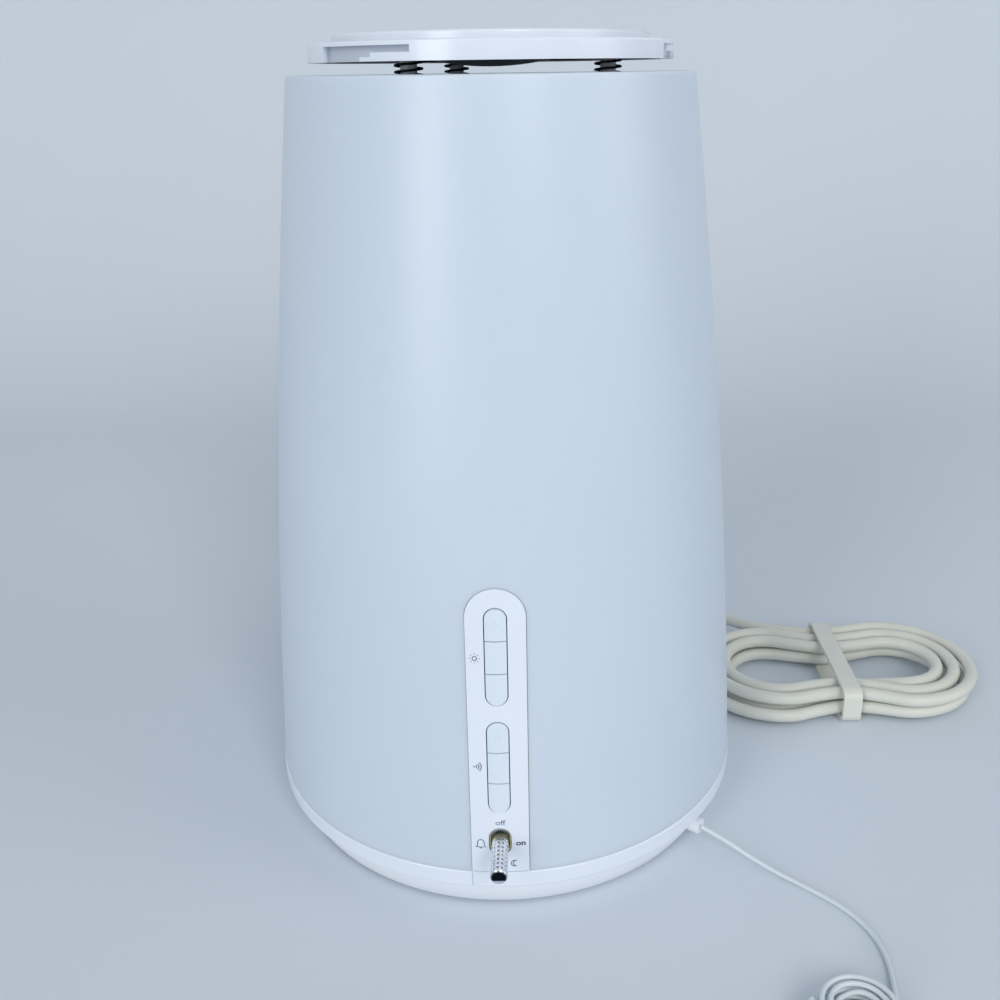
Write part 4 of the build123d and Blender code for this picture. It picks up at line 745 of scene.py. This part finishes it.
def arc(radius, start, end, centre=(0, 0), count=ARC_STEPS):
    """Points in millimetres on an arc between two angles in degrees."""
    turns = [radians(start + (end - start) * i / count) for i in range(count + 1)]
    return [(centre[0] + radius * cos(a), centre[1] + radius * sin(a)) for a in turns]


def drawn_mark(name, strokes, centre_mm, colour=print_ink):
    """A mark of thin strokes: lines with a round bevel, made a mesh and wrapped."""
    data = bpy.data.curves.new(name, "CURVE")
    data.dimensions = "3D"
    data.bevel_depth = INK_WIDTH / 2 * MM
    data.bevel_resolution = STROKE_STEPS
    data.use_fill_caps = True
    for points in strokes:
        spline = data.splines.new("POLY")
        spline.points.add(len(points) - 1)
        for point, (x, y) in zip(spline.points, points):
            point.co = (x * MM, y * MM, 0, 1)
    piece = bpy.data.objects.new(name, data)
    scene.collection.objects.link(piece)
    only(piece)
    bpy.ops.object.convert(target="MESH")
    piece = bpy.context.object
    for vertex in piece.data.vertices:
        vertex.co.z += INK_WIDTH / 2 * MM
    wrap_on_strip(piece, centre_mm)
    return settle(piece, name, "base", colour)


def word_mark(name, word, size_mm, centre_mm, colour, bolder_mm=0):
    """A word in Blender's own font, widened, turned into a thin mesh and wrapped."""
    bpy.ops.object.select_all(action="DESELECT")
    bpy.ops.object.text_add()
    piece = bpy.context.object
    piece.data.body = word
    piece.data.size = size_mm * MM
    piece.data.extrude = INK_PROUD
    piece.data.offset = bolder_mm * MM
    piece.data.align_x = "CENTER"
    piece.data.align_y = "CENTER"
    bpy.ops.object.convert(target="MESH")
    piece = bpy.context.object
    for vertex in piece.data.vertices:
        vertex.co.x *= WORD_WIDEN
        vertex.co.z += INK_PROUD
    wrap_on_strip(piece, centre_mm)
    return settle(piece, name, "base", colour)


ray_turns = [2 * pi * i / RAY_COUNT for i in range(RAY_COUNT)]
rays = [[(r * cos(a), r * sin(a)) for r in RAY_ENDS] for a in ray_turns]
drawn_mark("sun_mark", [arc(SUN_RADIUS, 0, 360), *rays], SUN_PLACE)
waves = [arc(r, -WAVE_ANGLE, WAVE_ANGLE, WAVES_CENTRE) for r in WAVE_RADII]
drawn_mark("radio_mark", [*waves, arc(WAVE_DOT, 0, 360, WAVES_CENTRE)], WAVES_PLACE)
bell_left = [(-x, y) for x, y in reversed(BELL_SIDE)]
bell = [*bell_left, *arc(BELL_CROWN, 180, 0, BELL_CROWN_CENTRE), *BELL_SIDE, bell_left[0]]
clapper = arc(CLAPPER_RADIUS, *CLAPPER_ANGLES, CLAPPER_CENTRE, CLAPPER_STEPS)
drawn_mark("bell_mark", [bell, clapper], BELL_PLACE)
moon = [*arc(MOON_BACK, *MOON_BACK_ANGLES), *arc(MOON_BITE, *MOON_BITE_ANGLES, MOON_BITE_CENTRE)]
drawn_mark("moon_mark", [moon + moon[:1]], MOON_PLACE)
word_mark("on_mark", "on", ON_SIZE, ON_PLACE, strong_ink, ON_BOLDER)
word_mark("off_mark", "off", OFF_SIZE, OFF_PLACE, print_ink)
# Painted shade: a pale grey line across the strip, level with the top of the ring
across = [(SEAM_HALF * (2 * i / SEAM_STEPS - 1), 0) for i in range(SEAM_STEPS + 1)]
drawn_mark("painted_seam_shade_mark", [across], SEAM_PLACE, painted_seam_shade_ink)
print("marks on the strip are wrapped")

# %% [markdown]
# ## Raised marks on the keys
# The keys can be told apart by touch: a plus, a dot and a minus stand a hair proud of their
# crowns. A bar starts as a cube at its size and gets its edges bevelled, two bars make a plus,
# and a flattened sphere makes the dot. Each is laid on the slope of the keys.

# %% Raised key marks
KEY_SLOT_HALF = 15.0 * MM
LOWER_SLOT, UPPER_SLOT = 53.75 * MM, 88.6 * MM
KEY_PROUD = 0.9 * MM
MARK_PROUD = 0.14 * MM
MARK_LONG, MARK_WIDE = 1.9 * MM, 0.5 * MM
EDGE_SEGMENTS, DOT_SEGMENTS, DOT_RINGS = 2, 20, 10
KEY_STEP = 10.15 * MM
key_low, key_high = LOWER_SLOT - KEY_SLOT_HALF, UPPER_SLOT + KEY_SLOT_HALF
key_lean = atan2(shade_radius(key_low) - shade_radius(key_high), key_high - key_low)
key_front = -(shade_radius(key_low) + shade_radius(key_high)) / 2


def key_frame(height, along):
    """The frame on a key's crown: X across, Y up the slope, Z outwards."""
    middle = Vector((0, key_front, (key_low + key_high) / 2))
    up = Vector((0, sin(key_lean), cos(key_lean)))
    out = Vector((0, -cos(key_lean), sin(key_lean)))
    slope = (height - middle.z) / cos(key_lean) + along
    spot = middle + up * slope + out * (KEY_PROUD - MARK_PROUD)
    turn = Matrix((Vector((1, 0, 0)), up, out)).transposed().to_4x4()
    return Matrix.Translation(spot) @ turn


def bar(length, width):
    """A bar with bevelled edges, standing on the XY plane."""
    bpy.ops.object.select_all(action="DESELECT")
    bpy.ops.mesh.primitive_cube_add(size=1, location=(0, 0, MARK_PROUD))
    piece = bpy.context.object
    piece.scale = (length, width, 2 * MARK_PROUD)
    bpy.ops.object.transform_apply(location=True, scale=True)
    rounded = piece.modifiers.new("edge", "BEVEL")
    rounded.width = MARK_PROUD / 2
    rounded.segments = EDGE_SEGMENTS
    bpy.ops.object.modifier_apply(modifier=rounded.name)
    return piece


def dot(radius):
    """A low dome, standing on the XY plane."""
    bpy.ops.object.select_all(action="DESELECT")
    bpy.ops.mesh.primitive_uv_sphere_add(
        segments=DOT_SEGMENTS, ring_count=DOT_RINGS, radius=radius, location=(0, 0, MARK_PROUD)
    )
    piece = bpy.context.object
    piece.scale = (1, 1, MARK_PROUD / radius)
    bpy.ops.object.transform_apply(location=True, scale=True)
    bpy.ops.object.shade_smooth()
    return piece


KEY_MARKS = [
    ("light_up", "plus", UPPER_SLOT, 1), ("light", "dot", UPPER_SLOT, 0),
    ("light_down", "minus", UPPER_SLOT, -1),
    ("volume_up", "plus", LOWER_SLOT, 1), ("volume_down", "minus", LOWER_SLOT, -1),
]
for key, shape, height, row in KEY_MARKS:
    if shape == "dot":
        piece = dot(MARK_WIDE)
    else:
        piece = bar(MARK_LONG, MARK_WIDE)
    if shape == "plus":
        unite(piece, bar(MARK_WIDE, MARK_LONG))
    piece.data.transform(key_frame(height, row * KEY_STEP))
    settle(piece, key + "_mark", key + "_key", satin_abs)
print("raised marks:", len(KEY_MARKS))

# %% [markdown]
# ## Floor and light
# A pale blue-grey sweep of paper runs from under the lamp up behind it, so no horizon shows.
# Three large soft lamps stand far off, left, right and at the side, and give the shade its wide,
# quiet highlights. Small lamps would draw hard spots on the satin skin, and near ones would
# leave the paper behind it dark.

# %% Stage and lamps
FLOOR_HALF = 1.6
WALL_AWAY = 0.75
WALL_HEIGHT = 1.6
SWEEP_RADIUS = 0.35
SWEEP_SEGMENTS = 16
SOCKETS_PAPER = {"Roughness": 0.9, "IOR": 1.4}
AIM_HEIGHT = 0.12
ROOM_COLOUR, ROOM_STRENGTH = "#F4F7FA", 0.36
bpy.ops.object.select_all(action="DESELECT")
bpy.ops.mesh.primitive_plane_add(size=2 * FLOOR_HALF, location=(0, WALL_AWAY - FLOOR_HALF, 0))
paper = bpy.context.object
paper.name = "paper_sweep"
bpy.ops.object.transform_apply(location=True)
bpy.ops.object.mode_set(mode="EDIT")
bpy.ops.mesh.select_mode(type="EDGE")
bpy.ops.mesh.select_all(action="DESELECT")
bpy.ops.object.mode_set(mode="OBJECT")
for edge in paper.data.edges:
    edge.select = all(paper.data.vertices[v].co.y > WALL_AWAY / 2 for v in edge.vertices)
bpy.ops.object.mode_set(mode="EDIT")
bpy.ops.mesh.extrude_region_move(TRANSFORM_OT_translate={"value": (0, 0, WALL_HEIGHT)})
bpy.ops.object.mode_set(mode="OBJECT")
for edge in paper.data.edges:
    low = all(abs(paper.data.vertices[v].co.z) < MM for v in edge.vertices)
    edge.select = low and all(paper.data.vertices[v].co.y > WALL_AWAY / 2 for v in edge.vertices)
bpy.ops.object.mode_set(mode="EDIT")
bpy.ops.mesh.bevel(offset=SWEEP_RADIUS, segments=SWEEP_SEGMENTS, affect="EDGES")
bpy.ops.object.mode_set(mode="OBJECT")
bpy.ops.object.shade_smooth()
# Paper: even and matt, so that only the lamp's shadow marks it
backdrop_paper = moulded(
    "backdrop paper, matt", SOCKETS_PAPER, "#D3DDE7", "#D8E1EA",
    blotch_mm=300, grain_mm=3, relief_mm=0.02,
)
paper.data.materials.append(backdrop_paper)

LAMPS = [
    ("left_window", (-1.25, -2.0, 0.8), (0.85, 2.2), 23.5),
    ("right_window", (0.82, -2.1, 1.45), (0.7, 1.2), 17.5),
    ("side_card", (2.3, -0.85, 1.1), (1.4, 1.9), 12.5),
]
aim = Vector((0, 0, AIM_HEIGHT))
for name, spot, (wide, tall), power in LAMPS:
    lamp_data = bpy.data.lights.new(name, "AREA")
    lamp_data.shape = "RECTANGLE"
    lamp_data.size, lamp_data.size_y = wide, tall
    lamp_data.energy = power
    lamp = bpy.data.objects.new(name, lamp_data)
    lamp.location = spot
    lamp.rotation_euler = (aim - Vector(spot)).to_track_quat("-Z", "Y").to_euler()
    scene.collection.objects.link(lamp)
world = bpy.data.worlds.new("soft_room")
world.use_nodes = True
background = world.node_tree.nodes["Background"]
background.inputs["Color"].default_value = linear(ROOM_COLOUR)
background.inputs["Strength"].default_value = ROOM_STRENGTH
scene.world = world
print("lamps:", [name for name, *_ in LAMPS])
